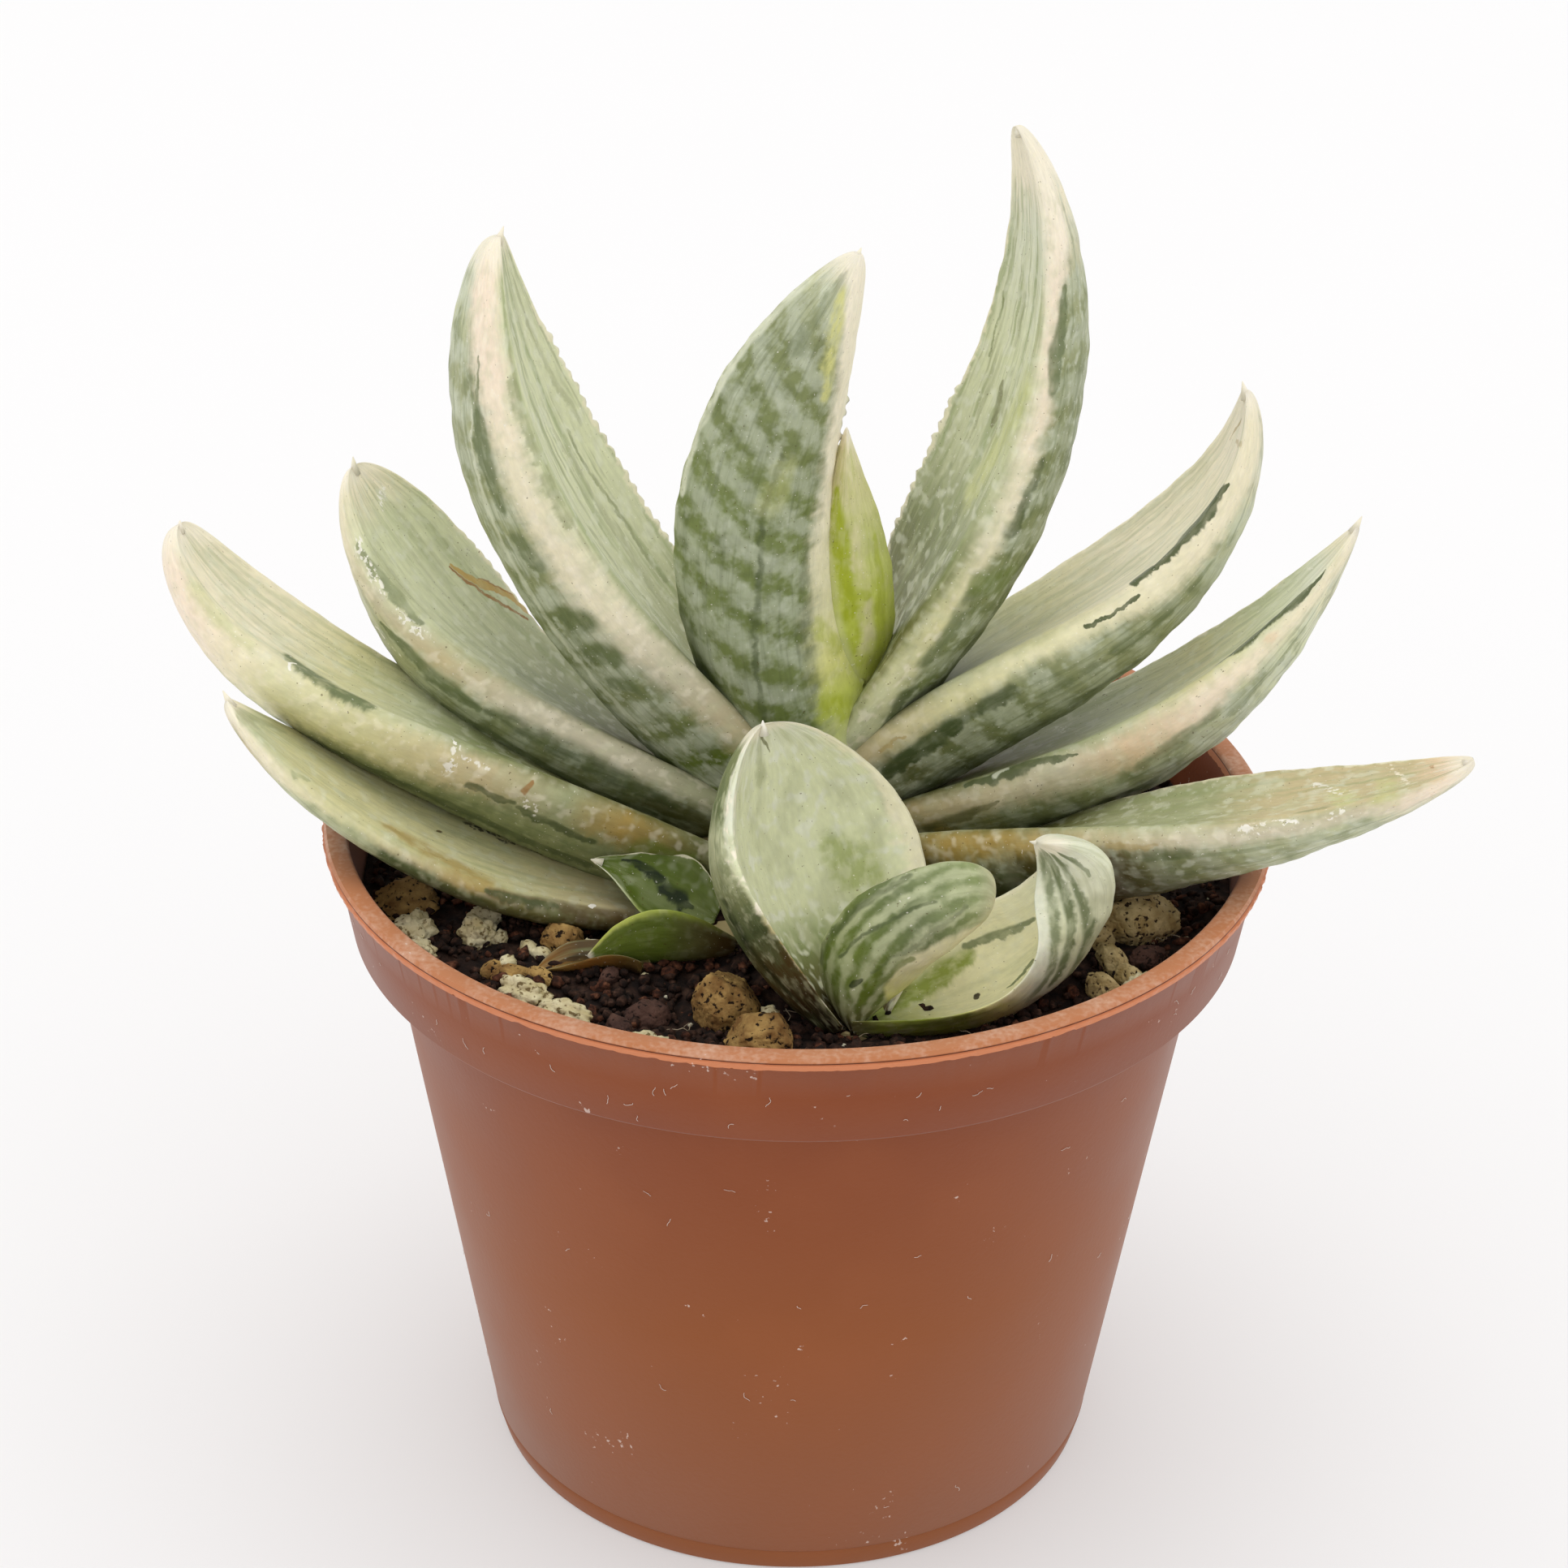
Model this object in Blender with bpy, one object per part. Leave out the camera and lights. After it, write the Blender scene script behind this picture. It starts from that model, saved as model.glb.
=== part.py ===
"""Potted gasteria: thick variegated leaves in two ranks, with offsets, in a plastic nursery pot.

Metres, +Z up. The centre of the pot's underside is the origin, and the plant's front is -Y.
Run it with: blender --background --python part.py
"""

import math
import random
from dataclasses import dataclass

import bmesh
import bpy
import numpy as np
from mathutils import Matrix, Vector, noise

MM = 0.001

# Fit between pieces, in millimetres
GAP = 0.35
WELD = 0.01

# Pot, in millimetres
POT_HEIGHT = 64.0
POT_BASE_RADIUS = 28.1
POT_FOOT_RADIUS = 28.6
POT_FOOT_HEIGHT = 2.1
POT_BODY_TOP_RADIUS = 37.0
POT_SKIRT_Z = 54.5
POT_SKIRT_RADIUS = 40.1
POT_SKIRT_TOP_RADIUS = 41.6
POT_LIP_HEIGHT = 1.1
POT_RIM_RADIUS = 42.5
POT_RIM_INNER_RADIUS = 40.2
POT_WALL = 1.1
POT_FLOOR = 1.4
POT_SIDES = 56
DRAIN_COUNT = 6
DRAIN_RADIUS = 3.2
DRAIN_CIRCLE_RADIUS = 18.0

# Soil, in millimetres
SOIL_Z = 57.2
SOIL_RELIEF = 1.1
SOIL_RELIEF_SPACING = 7.0
SOIL_TOP_RINGS = (35.0, 30.0, 24.5, 18.0, 11.0)
SOIL_SIDES = 36

# Grains of perlite and pumice on the soil, in millimetres
GRAIN_SEED = 7
GRAIN_COUNT = 22
GRAIN_RADIUS_RANGE = (1.0, 2.0)
GRAIN_INNER_CIRCLE = 21.0
GRAIN_OUTER_CIRCLE = 36.3
GRAIN_ROUGHNESS = 0.16
GRAIN_SUNK_SHARE = 0.25
LARGE_GRAINS = (
    # x, y, radius
    (-5.9, -25.0, 3.0),
    (-2.9, -30.2, 2.9),
    (-28.0, -12.4, 1.7),
    (-34.0, -11.6, 2.0),
    (-20.5, -23.0, 1.7),
    (-23.5, -21.0, 1.5),
    (30.3, -10.6, 2.5),
    (27.6, -17.0, 2.0),
    (-32.4, -6.9, 2.3),
)

# Leaf mesh
LEAF_STATIONS = 19
SMALL_LEAF_STATIONS = 14
STATION_CROWDING = 1.4
TOOTH_HEIGHT = 0.4


# Leaf cross-sections: share of the half-width towards the front margin, share of the depth upwards.
# A ranked leaf has a broad blunt front margin and a keel under it.
RANKED_SECTION = (
    (-1.0, -0.03),
    (-0.5, -0.05),
    (0.0, -0.06),
    (0.5, -0.03),
    (0.86, 0.0),
    (1.0, -0.22),
    (0.9, -0.52),
    (0.5, -0.86),
    (0.05, -1.0),
    (-0.45, -0.82),
    (-0.85, -0.35),
)
RANKED_MARGINS = (0,)

# A sheathing leaf is shaped like a boat, with two thin margins and a middle keel.
BOAT_SECTION = (
    (-1.0, 0.0),
    (-0.5, -0.1),
    (0.0, -0.14),
    (0.5, -0.1),
    (1.0, 0.0),
    (0.9, -0.42),
    (0.5, -0.85),
    (0.0, -1.0),
    (-0.5, -0.85),
    (-0.9, -0.42),
)
BOAT_MARGINS = (0, 4)


@dataclass(frozen=True)
class Finish:
    """Colour and gloss of one kind of surface."""

    name: str
    colour: tuple
    roughness: float


TERRACOTTA = Finish("terracotta_plastic", (0.27, 0.085, 0.035), 0.45)
PEAT = Finish("peat_and_grit", (0.045, 0.03, 0.02), 0.95)
PALE_LEAF = Finish("pale_leaf", (0.47, 0.51, 0.34), 0.42)
MOTTLED_LEAF = Finish("mottled_leaf", (0.30, 0.36, 0.22), 0.42)
YOUNG_LEAF = Finish("young_leaf", (0.42, 0.50, 0.10), 0.40)
DARK_LEAF = Finish("dark_leaf", (0.09, 0.16, 0.04), 0.42)
DRY_LEAF = Finish("dry_leaf", (0.24, 0.15, 0.05), 0.80)
STEM = Finish("stem", (0.36, 0.30, 0.14), 0.60)


@dataclass(frozen=True)
class Leaf:
    """One leaf. Sizes are millimetres and angles degrees; each tuple runs from root to tip.

    The tuples are control values of a smooth curve. Heading turns anticlockwise from +X, rise is the
    slope above level, and roll turns the upper face towards the front margin. Cup lifts the margins.
    """

    name: str
    root: tuple
    heading: tuple
    rise: tuple
    length: float
    half_width: tuple
    depth: tuple
    roll: tuple
    cup: tuple
    tip_from: float
    finish: Finish
    ranked: bool = True
    front: int = 1
    stations: int = LEAF_STATIONS
    toothed: tuple = ()


# Inner leaves come first: each later leaf is hollowed where it wraps round an earlier one.
LEAVES = (
    Leaf(
        "leaf_young", root=(0.0, 5.0, 58.5), heading=(1, -1, -1), rise=(85, 62, 102, 89),
        length=40.5, half_width=(3.0, 6.0, 6.0, 1.0), depth=(2.75, 3.25, 2.0), roll=(71, 86, 86),
        cup=(0.3, 0.3), tip_from=0.45, finish=YOUNG_LEAF, ranked=False,
    ),
    Leaf(
        "leaf_centre", root=(6.5, 0.5, 59.0), heading=(-5, 2, 1), rise=(126, 112, 66, 64),
        length=61.0, half_width=(3.5, 9.0, 7.25, 3.25), depth=(3.5, 4.0, 2.25), roll=(120, 65, 80),
        cup=(0.5, 0.35), tip_from=0.72, finish=MOTTLED_LEAF, ranked=False, toothed=(0.1, 0.85),
    ),
    Leaf(
        "leaf_left_4", root=(3.0, 5.5, 59.0), heading=(173, 160, 166), rise=(62, 32, 64, 86),
        length=63.0, half_width=(7.75, 11.0, 11.0, 5.75), depth=(5.75, 14.75, 4.5),
        roll=(-24, -4, -12), cup=(0.15, 0.1), tip_from=0.67, finish=PALE_LEAF, toothed=(0.2, 0.8),
    ),
    Leaf(
        "leaf_right_4", root=(2.5, 9.0, 59.5), heading=(4, 18, 26), rise=(86, 43, 67, 109),
        length=67.5, half_width=(8.25, 14.5, 3.75, 4.5), depth=(2.0, 14.75, 3.0), roll=(-24, 4, 5),
        cup=(0.05, 0.1), tip_from=0.39, finish=PALE_LEAF, front=-1, toothed=(0.2, 0.8),
    ),
    Leaf(
        "leaf_left_3", root=(-1.5, 6.5, 59.0), heading=(177, 168, 154), rise=(34, 15, 49, 53),
        length=51.0, half_width=(7.5, 9.25, 10.0, 6.0), depth=(3.5, 12.5, 5.0), roll=(-22, -24, 17),
        cup=(0.05, 0.05), tip_from=0.62, finish=PALE_LEAF, toothed=(0.2, 0.7),
    ),
    Leaf(
        "leaf_right_3", root=(-1.0, 6.5, 58.5), heading=(9, 8, 4), rise=(60, 26, 7, 91),
        length=59.5, half_width=(7.75, 10.5, 10.0, 3.25), depth=(5.5, 13.25, 2.75),
        roll=(-22, -20, 11), cup=(0.15, 0.05), tip_from=0.54, finish=PALE_LEAF, front=-1,
        toothed=(0.2, 0.7),
    ),
    Leaf(
        "leaf_left_2", root=(-7.0, -0.5, 58.5), heading=(181, 177, 159), rise=(31, 37, 0, 60),
        length=57.5, half_width=(7.75, 8.5, 7.75, 6.0), depth=(5.75, 9.0, 5.25), roll=(-33, -12, -3),
        cup=(0.1, 0.0), tip_from=0.71, finish=PALE_LEAF, toothed=(0.2, 0.7),
    ),
    Leaf(
        "leaf_right_2", root=(5.0, 7.5, 59.0), heading=(-8, -1, 10), rise=(31, 12, 42, 51),
        length=54.0, half_width=(7.0, 9.5, 8.25, 2.75), depth=(3.5, 12.75, 1.75),
        roll=(-15, -11, -9), cup=(0.1, 0.05), tip_from=0.44, finish=PALE_LEAF, front=-1,
        toothed=(0.2, 0.7),
    ),
    Leaf(
        "leaf_left_1", root=(-10.0, -4.5, 58.0), heading=(190, 186, 177), rise=(9, 19, 40, 40),
        length=45.0, half_width=(5.5, 8.75, 7.0, 4.75), depth=(3.5, 5.5, 2.25), roll=(-5, 6, -17),
        cup=(0.0, -0.05), tip_from=0.75, finish=PALE_LEAF, toothed=(0.2, 0.7),
    ),
    Leaf(
        "leaf_right_1", root=(8.5, -1.0, 58.0), heading=(-23, -21, -6), rise=(33, 19, 9, 24),
        length=55.0, half_width=(7.75, 9.5, 5.25, 3.25), depth=(6.25, 8.75, 3.75),
        roll=(-40, -8, 15), cup=(0.15, 0.05), tip_from=0.41, finish=PALE_LEAF, front=-1,
        toothed=(0.2, 0.7),
    ),
    Leaf(
        "offset_leaf_middle", root=(5.0, -25.0, 57.5), heading=(1, 9, 37), rise=(95, 50, 25, -33),
        length=17.5, half_width=(0.75, 7.75, 2.25, 6.5), depth=(3.0, 4.0, 2.0), roll=(92, 98, 67),
        cup=(0.35, 0.25), tip_from=0.62, finish=MOTTLED_LEAF, ranked=False,
        stations=SMALL_LEAF_STATIONS,
    ),
    Leaf(
        "offset_leaf_back", root=(5.0, -26.0, 57.0), heading=(125, 124, 121), rise=(43, 32, 74, 80),
        length=27.5, half_width=(3.0, 14.25, 13.75, 10.0), depth=(2.75, 8.5, 2.5),
        roll=(-14, -28, -21), cup=(0.6, 0.25), tip_from=0.48, finish=PALE_LEAF, ranked=False,
        stations=SMALL_LEAF_STATIONS,
    ),
    Leaf(
        "offset_leaf_front", root=(4.5, -25.5, 57.5), heading=(8, 27, 16), rise=(9, -5, 30, 156),
        length=29.5, half_width=(2.75, 7.0, 7.25, 1.25), depth=(2.5, 3.5, 4.75), roll=(2, 33, -62),
        cup=(0.6, 0.45), tip_from=0.82, finish=MOTTLED_LEAF, ranked=False, front=-1,
        stations=SMALL_LEAF_STATIONS,
    ),
    Leaf(
        "small_offset_leaf_upper", root=(-7.0, -11.5, 59.0), heading=(171, 159, 174),
        rise=(26, 18, 33, 8), length=12.0, half_width=(0.75, 6.25, 2.0, 1.0),
        depth=(1.0, 1.75, 0.9), roll=(27, 33, 22), cup=(0.3, 0.2), tip_from=0.44,
        finish=DARK_LEAF, ranked=False, stations=SMALL_LEAF_STATIONS,
    ),
    Leaf(
        "small_offset_leaf_lower", root=(-5.5, -14.5, 58.0), heading=(189, 184, 200),
        rise=(12, 13, -7, -14), length=13.0, half_width=(1.5, 4.5, 6.5, 1.0),
        depth=(0.9, 3.0, 1.25), roll=(-33, -51, -53), cup=(0.35, 0.3), tip_from=0.48,
        finish=DARK_LEAF, ranked=False, stations=SMALL_LEAF_STATIONS,
    ),
    Leaf(
        "small_offset_leaf_dry", root=(-13.0, -18.5, 58.2), heading=(150, 178, 215),
        rise=(5, 0, -14), length=10.0, half_width=(0.8, 2.9, 1.9, 0.6),
        depth=(0.8, 1.6, 0.8), roll=(-25, -10, 20), cup=(0.5, 0.2), tip_from=0.5,
        finish=DRY_LEAF, ranked=False, stations=SMALL_LEAF_STATIONS,
    ),
)


@dataclass(frozen=True)
class Stem:
    """A short stem: its foot and the radii and heights of its outline, in millimetres."""

    name: str
    centre: tuple
    outline: tuple
    sides: int


STEMS = (
    Stem("crown", (0.0, 4.0), ((4.0, 34.0), (6.0, 42.0), (8.5, 52.0), (10.5, 58.5), (7.0, 61.5)), 24),
    Stem("offset_stem", (5.0, -25.8), ((1.6, 46.0), (2.1, 52.0), (2.4, 57.6)), 14),
    Stem("small_offset_stem", (-6.0, -13.4), ((1.2, 48.0), (1.6, 54.0), (1.8, 58.8)), 12),
)


def clear_scene():
    """Remove every object, so that the file holds only this model."""
    for thing in list(bpy.data.objects):
        bpy.data.objects.remove(thing, do_unlink=True)


def material(finish):
    """Return the Principled material of a finish, made once."""
    found = bpy.data.materials.get(finish.name)
    if found:
        return found
    made = bpy.data.materials.new(finish.name)
    made.use_nodes = True
    shader = made.node_tree.nodes["Principled BSDF"]
    shader.inputs["Base Color"].default_value = (*finish.colour, 1.0)
    shader.inputs["Roughness"].default_value = finish.roughness
    shader.inputs["Metallic"].default_value = 0.0
    return made


def new_object(name, bm, finish=None):
    """Put a bmesh into the scene as an object and free it."""
    mesh = bpy.data.meshes.new(name)
    bm.to_mesh(mesh)
    bm.free()
    mesh.shade_smooth()
    made = bpy.data.objects.new(name, mesh)
    bpy.context.collection.objects.link(made)
    if finish:
        mesh.materials.append(material(finish))
    return made


def bernstein(values, share):
    """Return the smooth curve through a tuple of control values at a share of the way, 0 to 1."""
    degree = len(values) - 1
    total = 0.0
    for k, value in enumerate(values):
        total += math.comb(degree, k) * share**k * (1.0 - share) ** (degree - k) * value
    return total


def tip_closure(leaf, share):
    """Return how much of its width the leaf still has at a share of its length."""
    past = max(0.0, (share - leaf.tip_from) / (1.0 - leaf.tip_from))
    return math.sqrt(max(0.0, 1.0 - past * past))


def leaf_directions(leaf, share):
    """Return the leaf's direction, its direction to the front margin and its upward direction."""
    heading = math.radians(bernstein(leaf.heading, share))
    rise = math.radians(bernstein(leaf.rise, share))
    roll = math.radians(bernstein(leaf.roll, share))
    along = Vector(
        (math.cos(rise) * math.cos(heading), math.cos(rise) * math.sin(heading), math.sin(rise))
    )
    level = Vector((-math.sin(heading), math.cos(heading), 0.0))
    upright = along.cross(level)
    across = level * leaf.front
    turned_across = across * math.cos(roll) - upright * math.sin(roll)
    turned_up = upright * math.cos(roll) + across * math.sin(roll)
    return along, turned_across, turned_up


def leaf_rings(leaf):
    """Return the section points, in millimetres, at each station from the root to the tip."""
    section = RANKED_SECTION if leaf.ranked else BOAT_SECTION
    rings = []
    place = Vector(leaf.root)
    last_share = 0.0
    last_along = leaf_directions(leaf, 0.0)[0]
    for station in range(leaf.stations):
        share = 1.0 - (1.0 - station / (leaf.stations - 1)) ** STATION_CROWDING
        along, across, up = leaf_directions(leaf, share)
        place = place + (last_along + along) * 0.5 * leaf.length * (share - last_share)
        last_share, last_along = share, along
        closure = tip_closure(leaf, share)
        half_width = bernstein(leaf.half_width, share) * closure
        depth = bernstein(leaf.depth, share) * closure**0.7
        lift = bernstein(leaf.cup, share) * half_width
        ring = [
            place + across * (half_width * u) + up * (depth * v + lift * u * u) for u, v in section
        ]
        rings.append(ring)
    return rings


def add_teeth(bm, column, margin, leaf):
    """Raise a row of small teeth along one margin by splitting its edges twice."""
    first = leaf.toothed[0] * leaf.stations
    last = leaf.toothed[1] * leaf.stations
    row = bm.verts.layers.int["row"]
    edges = [
        edge
        for edge in bm.edges
        if all(vert[column] == margin and first <= vert[row] <= last for vert in edge.verts)
    ]
    halves = bmesh.ops.subdivide_edges(bm, edges=edges, cuts=1)
    quarter_edges = [item for item in halves["geom_split"] if isinstance(item, bmesh.types.BMEdge)]
    margin_edges = [edge for edge in set(quarter_edges + edges) if edge.is_valid]
    split = bmesh.ops.subdivide_edges(bm, edges=margin_edges, cuts=1)
    tips = [item for item in split["geom_inner"] if isinstance(item, bmesh.types.BMVert)]
    bm.normal_update()
    for vert in tips:
        vert.co += vert.normal * TOOTH_HEIGHT * MM


def leaf_bmesh(leaf):
    """Roll a grid into the leaf: one direction runs round the section and one along the leaf."""
    rings = leaf_rings(leaf)
    around = len(rings[0])
    bm = bmesh.new()
    bmesh.ops.create_grid(bm, x_segments=around, y_segments=leaf.stations - 1, size=1.0)
    column = bm.verts.layers.int.new("column")
    row = bm.verts.layers.int.new("row")
    for vert in bm.verts:
        vert[column] = round((vert.co.x + 1.0) / 2.0 * around) % around
        vert[row] = round((vert.co.y + 1.0) / 2.0 * (leaf.stations - 1))
        vert.co = rings[vert[row]][vert[column]] * MM
    bmesh.ops.remove_doubles(bm, verts=bm.verts, dist=1e-7)
    open_edges = [edge for edge in bm.edges if edge.is_boundary]
    bmesh.ops.holes_fill(bm, edges=open_edges, sides=0)
    bmesh.ops.recalc_face_normals(bm, faces=bm.faces)
    if leaf.toothed:
        for margin in RANKED_MARGINS if leaf.ranked else BOAT_MARGINS:
            add_teeth(bm, column, margin, leaf)
    bmesh.ops.triangulate(bm, faces=bm.faces)
    bmesh.ops.recalc_face_normals(bm, faces=bm.faces)
    return bm


def make_guide(thing):
    """Mark an object as a cutter, which isn't part of the model."""
    thing.hide_render = True
    thing.display_type = "WIRE"
    return thing


def clearance_copy(thing):
    """Return a cutter: the object grown by the gap that its neighbours keep to it."""
    bm = bmesh.new()
    bm.from_mesh(thing.data)
    bm.normal_update()
    moved = [(vert, vert.co + vert.normal * GAP * MM) for vert in bm.verts]
    for vert, place in moved:
        vert.co = place
    return make_guide(new_object(thing.name + "_clearance", bm))


def boxes_meet(first, second):
    """Tell whether the bounding boxes of two objects overlap."""
    first_points = np.array([corner[:] for corner in first.bound_box])
    second_points = np.array([corner[:] for corner in second.bound_box])
    low = np.maximum(first_points.min(axis=0), second_points.min(axis=0))
    high = np.minimum(first_points.max(axis=0), second_points.max(axis=0))
    return bool(np.all(low < high))


def apply_modifiers(thing):
    """Replace an object's mesh with its evaluated one."""
    depsgraph = bpy.context.evaluated_depsgraph_get()
    mesh = bpy.data.meshes.new_from_object(thing.evaluated_get(depsgraph))
    thing.modifiers.clear()
    thing.data = mesh


def islands(bm):
    """Return the connected bodies of a bmesh as lists of faces."""
    left = set(bm.faces)
    bodies = []
    while left:
        body = []
        front = [left.pop()]
        while front:
            face = front.pop()
            body.append(face)
            for edge in face.edges:
                for other in edge.link_faces:
                    if other in left:
                        left.remove(other)
                        front.append(other)
        bodies.append(body)
    return bodies


def keep_main_body(thing):
    """Weld slivers, drop loose scraps and leave one closed triangle mesh."""
    bm = bmesh.new()
    bm.from_mesh(thing.data)
    bmesh.ops.remove_doubles(bm, verts=bm.verts, dist=WELD * MM)
    bmesh.ops.dissolve_degenerate(bm, edges=bm.edges, dist=WELD * MM)
    bodies = sorted(islands(bm), key=lambda body: sum(face.calc_area() for face in body))
    for body in bodies[:-1]:
        bmesh.ops.delete(bm, geom=body, context="FACES")
    loose = [vert for vert in bm.verts if not vert.link_faces]
    bmesh.ops.delete(bm, geom=loose, context="VERTS")
    bmesh.ops.triangulate(bm, faces=bm.faces)
    bmesh.ops.recalc_face_normals(bm, faces=bm.faces)
    bm.to_mesh(thing.data)
    bm.free()
    thing.data.shade_smooth()


def cut_clear(thing, cutters):
    """Hollow an object where cutters reach into it."""
    near = [cutter for cutter in cutters if boxes_meet(thing, cutter)]
    for cutter in near:
        cut = thing.modifiers.new("clear_of_" + cutter.name, "BOOLEAN")
        cut.operation = "DIFFERENCE"
        cut.solver = "EXACT"
        cut.object = cutter
    if near:
        apply_modifiers(thing)
        keep_main_body(thing)


def turned(outline, sides, centre=(0.0, 0.0)):
    """Return a bmesh turned round a vertical axis from radius and height pairs, foot to top."""
    bm = bmesh.new()
    points = [(0.0, outline[0][1]), *outline, (0.0, outline[-1][1])]
    verts = [bm.verts.new(Vector((radius, 0.0, height)) * MM) for radius, height in points]
    edges = [bm.edges.new(pair) for pair in zip(verts, verts[1:])]
    bmesh.ops.spin(
        bm, geom=verts + edges, axis=(0.0, 0.0, 1.0), cent=(0.0, 0.0, 0.0),
        angle=2.0 * math.pi, steps=sides, use_merge=True,
    )
    bmesh.ops.remove_doubles(bm, verts=bm.verts, dist=1e-6)
    bmesh.ops.translate(bm, verts=bm.verts, vec=Vector((centre[0], centre[1], 0.0)) * MM)
    bmesh.ops.recalc_face_normals(bm, faces=bm.faces)
    return bm


def pot_inner_radius(height):
    """Return the radius of the pot's inner wall at a height, in millimetres."""
    if height >= POT_SKIRT_Z + POT_WALL:
        share = (height - POT_SKIRT_Z) / (POT_HEIGHT - POT_SKIRT_Z)
        low = POT_SKIRT_RADIUS - POT_WALL
        return low + (POT_RIM_INNER_RADIUS - low) * share
    share = height / POT_SKIRT_Z
    low = POT_BASE_RADIUS - POT_WALL
    return low + (POT_BODY_TOP_RADIUS - POT_WALL - low) * share


def build_pot():
    """Make the pot: a tapered body with a foot line, a skirt under the lip, and drain holes."""
    ledge = POT_SKIRT_Z + POT_WALL
    lip_foot = POT_HEIGHT - POT_LIP_HEIGHT
    outline = (
        (POT_BASE_RADIUS, 0.0),
        (POT_FOOT_RADIUS, POT_FOOT_HEIGHT),
        (POT_BODY_TOP_RADIUS, POT_SKIRT_Z),
        (POT_SKIRT_RADIUS, POT_SKIRT_Z),
        (POT_SKIRT_TOP_RADIUS, lip_foot),
        (POT_RIM_RADIUS, lip_foot + 0.3),
        (POT_RIM_RADIUS, POT_HEIGHT - 0.3),
        (POT_RIM_RADIUS - 0.3, POT_HEIGHT),
        (POT_RIM_INNER_RADIUS, POT_HEIGHT),
        (pot_inner_radius(ledge), ledge),
        (pot_inner_radius(ledge - 0.01), ledge),
        (pot_inner_radius(POT_FLOOR), POT_FLOOR),
    )
    pot = new_object("pot", turned(outline, POT_SIDES), TERRACOTTA)
    drills = []
    for index in range(DRAIN_COUNT):
        angle = 2.0 * math.pi * index / DRAIN_COUNT
        bm = bmesh.new()
        bmesh.ops.create_cone(
            bm, cap_ends=True, segments=14, radius1=DRAIN_RADIUS * MM, radius2=DRAIN_RADIUS * MM,
            depth=4.0 * POT_FLOOR * MM,
        )
        centre = Vector((math.cos(angle), math.sin(angle), 0.0)) * DRAIN_CIRCLE_RADIUS * MM
        bmesh.ops.translate(bm, verts=bm.verts, vec=centre)
        drill = make_guide(new_object("drain_drill", bm))
        drills.append(drill)
        hole = pot.modifiers.new("drain_hole", "BOOLEAN")
        hole.operation = "DIFFERENCE"
        hole.solver = "EXACT"
        hole.object = drill
    apply_modifiers(pot)
    for drill in drills:
        bpy.data.objects.remove(drill, do_unlink=True)
    pot.data.set_sharp_from_angle(angle=math.radians(30.0))
    return pot


def soil_height(x, y):
    """Return the height of the uneven soil surface at a place, all in millimetres."""
    place = Vector((x, y, 0.0)) / SOIL_RELIEF_SPACING
    return SOIL_Z + SOIL_RELIEF * noise.noise(place)


def grain_places():
    """Return the x, y and radius of each grain, the large ones first and the rest seeded."""
    draw = random.Random(GRAIN_SEED)
    places = list(LARGE_GRAINS)
    while len(places) < GRAIN_COUNT + len(LARGE_GRAINS):
        angle = draw.uniform(0.0, 2.0 * math.pi)
        reach = draw.uniform(GRAIN_INNER_CIRCLE, GRAIN_OUTER_CIRCLE)
        radius = draw.uniform(*GRAIN_RADIUS_RANGE)
        x, y = reach * math.cos(angle), reach * math.sin(angle)
        if all(math.hypot(x - a, y - b) > radius + r + 0.6 for a, b, r in places):
            places.append((x, y, radius))
    return places


def grain_objects():
    """Return the grains as rough low polyhedra, sunk a little into the soil."""
    draw = random.Random(GRAIN_SEED + 1)
    grains = []
    for x, y, radius in grain_places():
        bm = bmesh.new()
        bmesh.ops.create_icosphere(bm, subdivisions=1, radius=radius * MM)
        turn = Matrix.Rotation(draw.uniform(0.0, 2.0 * math.pi), 3, "Z")
        stretch = Matrix.Diagonal((draw.uniform(0.85, 1.1), draw.uniform(0.75, 1.0), 0.8))
        for vert in bm.verts:
            vert.co = turn @ stretch @ vert.co * (1.0 + draw.uniform(-1.0, 1.0) * GRAIN_ROUGHNESS)
        height = soil_height(x, y) + radius * GRAIN_SUNK_SHARE
        bmesh.ops.translate(bm, verts=bm.verts, vec=Vector((x, y, height)) * MM)
        grains.append(new_object("grain", bm))
    return grains


def build_soil(cutters):
    """Make the soil that fills the pot, with its grains fused in and hollows for what stands in it."""
    foot = POT_FLOOR + GAP
    ledge = POT_SKIRT_Z + POT_WALL
    edge = pot_inner_radius(SOIL_Z) - GAP
    outline = (
        (pot_inner_radius(foot) - GAP, foot),
        (pot_inner_radius(ledge - 0.01) - GAP, ledge),
        (pot_inner_radius(ledge - 0.01) - GAP, ledge + GAP),
        (pot_inner_radius(ledge) - GAP, ledge + GAP),
        (edge, SOIL_Z),
        *((radius, SOIL_Z) for radius in SOIL_TOP_RINGS),
    )
    bm = turned(outline, SOIL_SIDES)
    for vert in bm.verts:
        reach = math.hypot(vert.co.x, vert.co.y) / MM
        if abs(vert.co.z / MM - SOIL_Z) < 1e-3 and reach < edge - 1.0:
            vert.co.z = soil_height(vert.co.x / MM, vert.co.y / MM) * MM
    bmesh.ops.triangulate(bm, faces=bm.faces)
    soil = new_object("soil", bm, PEAT)
    grains = grain_objects()
    heap = bpy.data.collections.new("grains")
    for grain in grains:
        heap.objects.link(grain)
    fuse = soil.modifiers.new("grains", "BOOLEAN")
    fuse.operation = "UNION"
    fuse.solver = "EXACT"
    fuse.operand_type = "COLLECTION"
    fuse.collection = heap
    apply_modifiers(soil)
    for grain in grains:
        bpy.data.objects.remove(grain, do_unlink=True)
    keep_main_body(soil)
    cut_clear(soil, cutters)
    return soil


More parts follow.
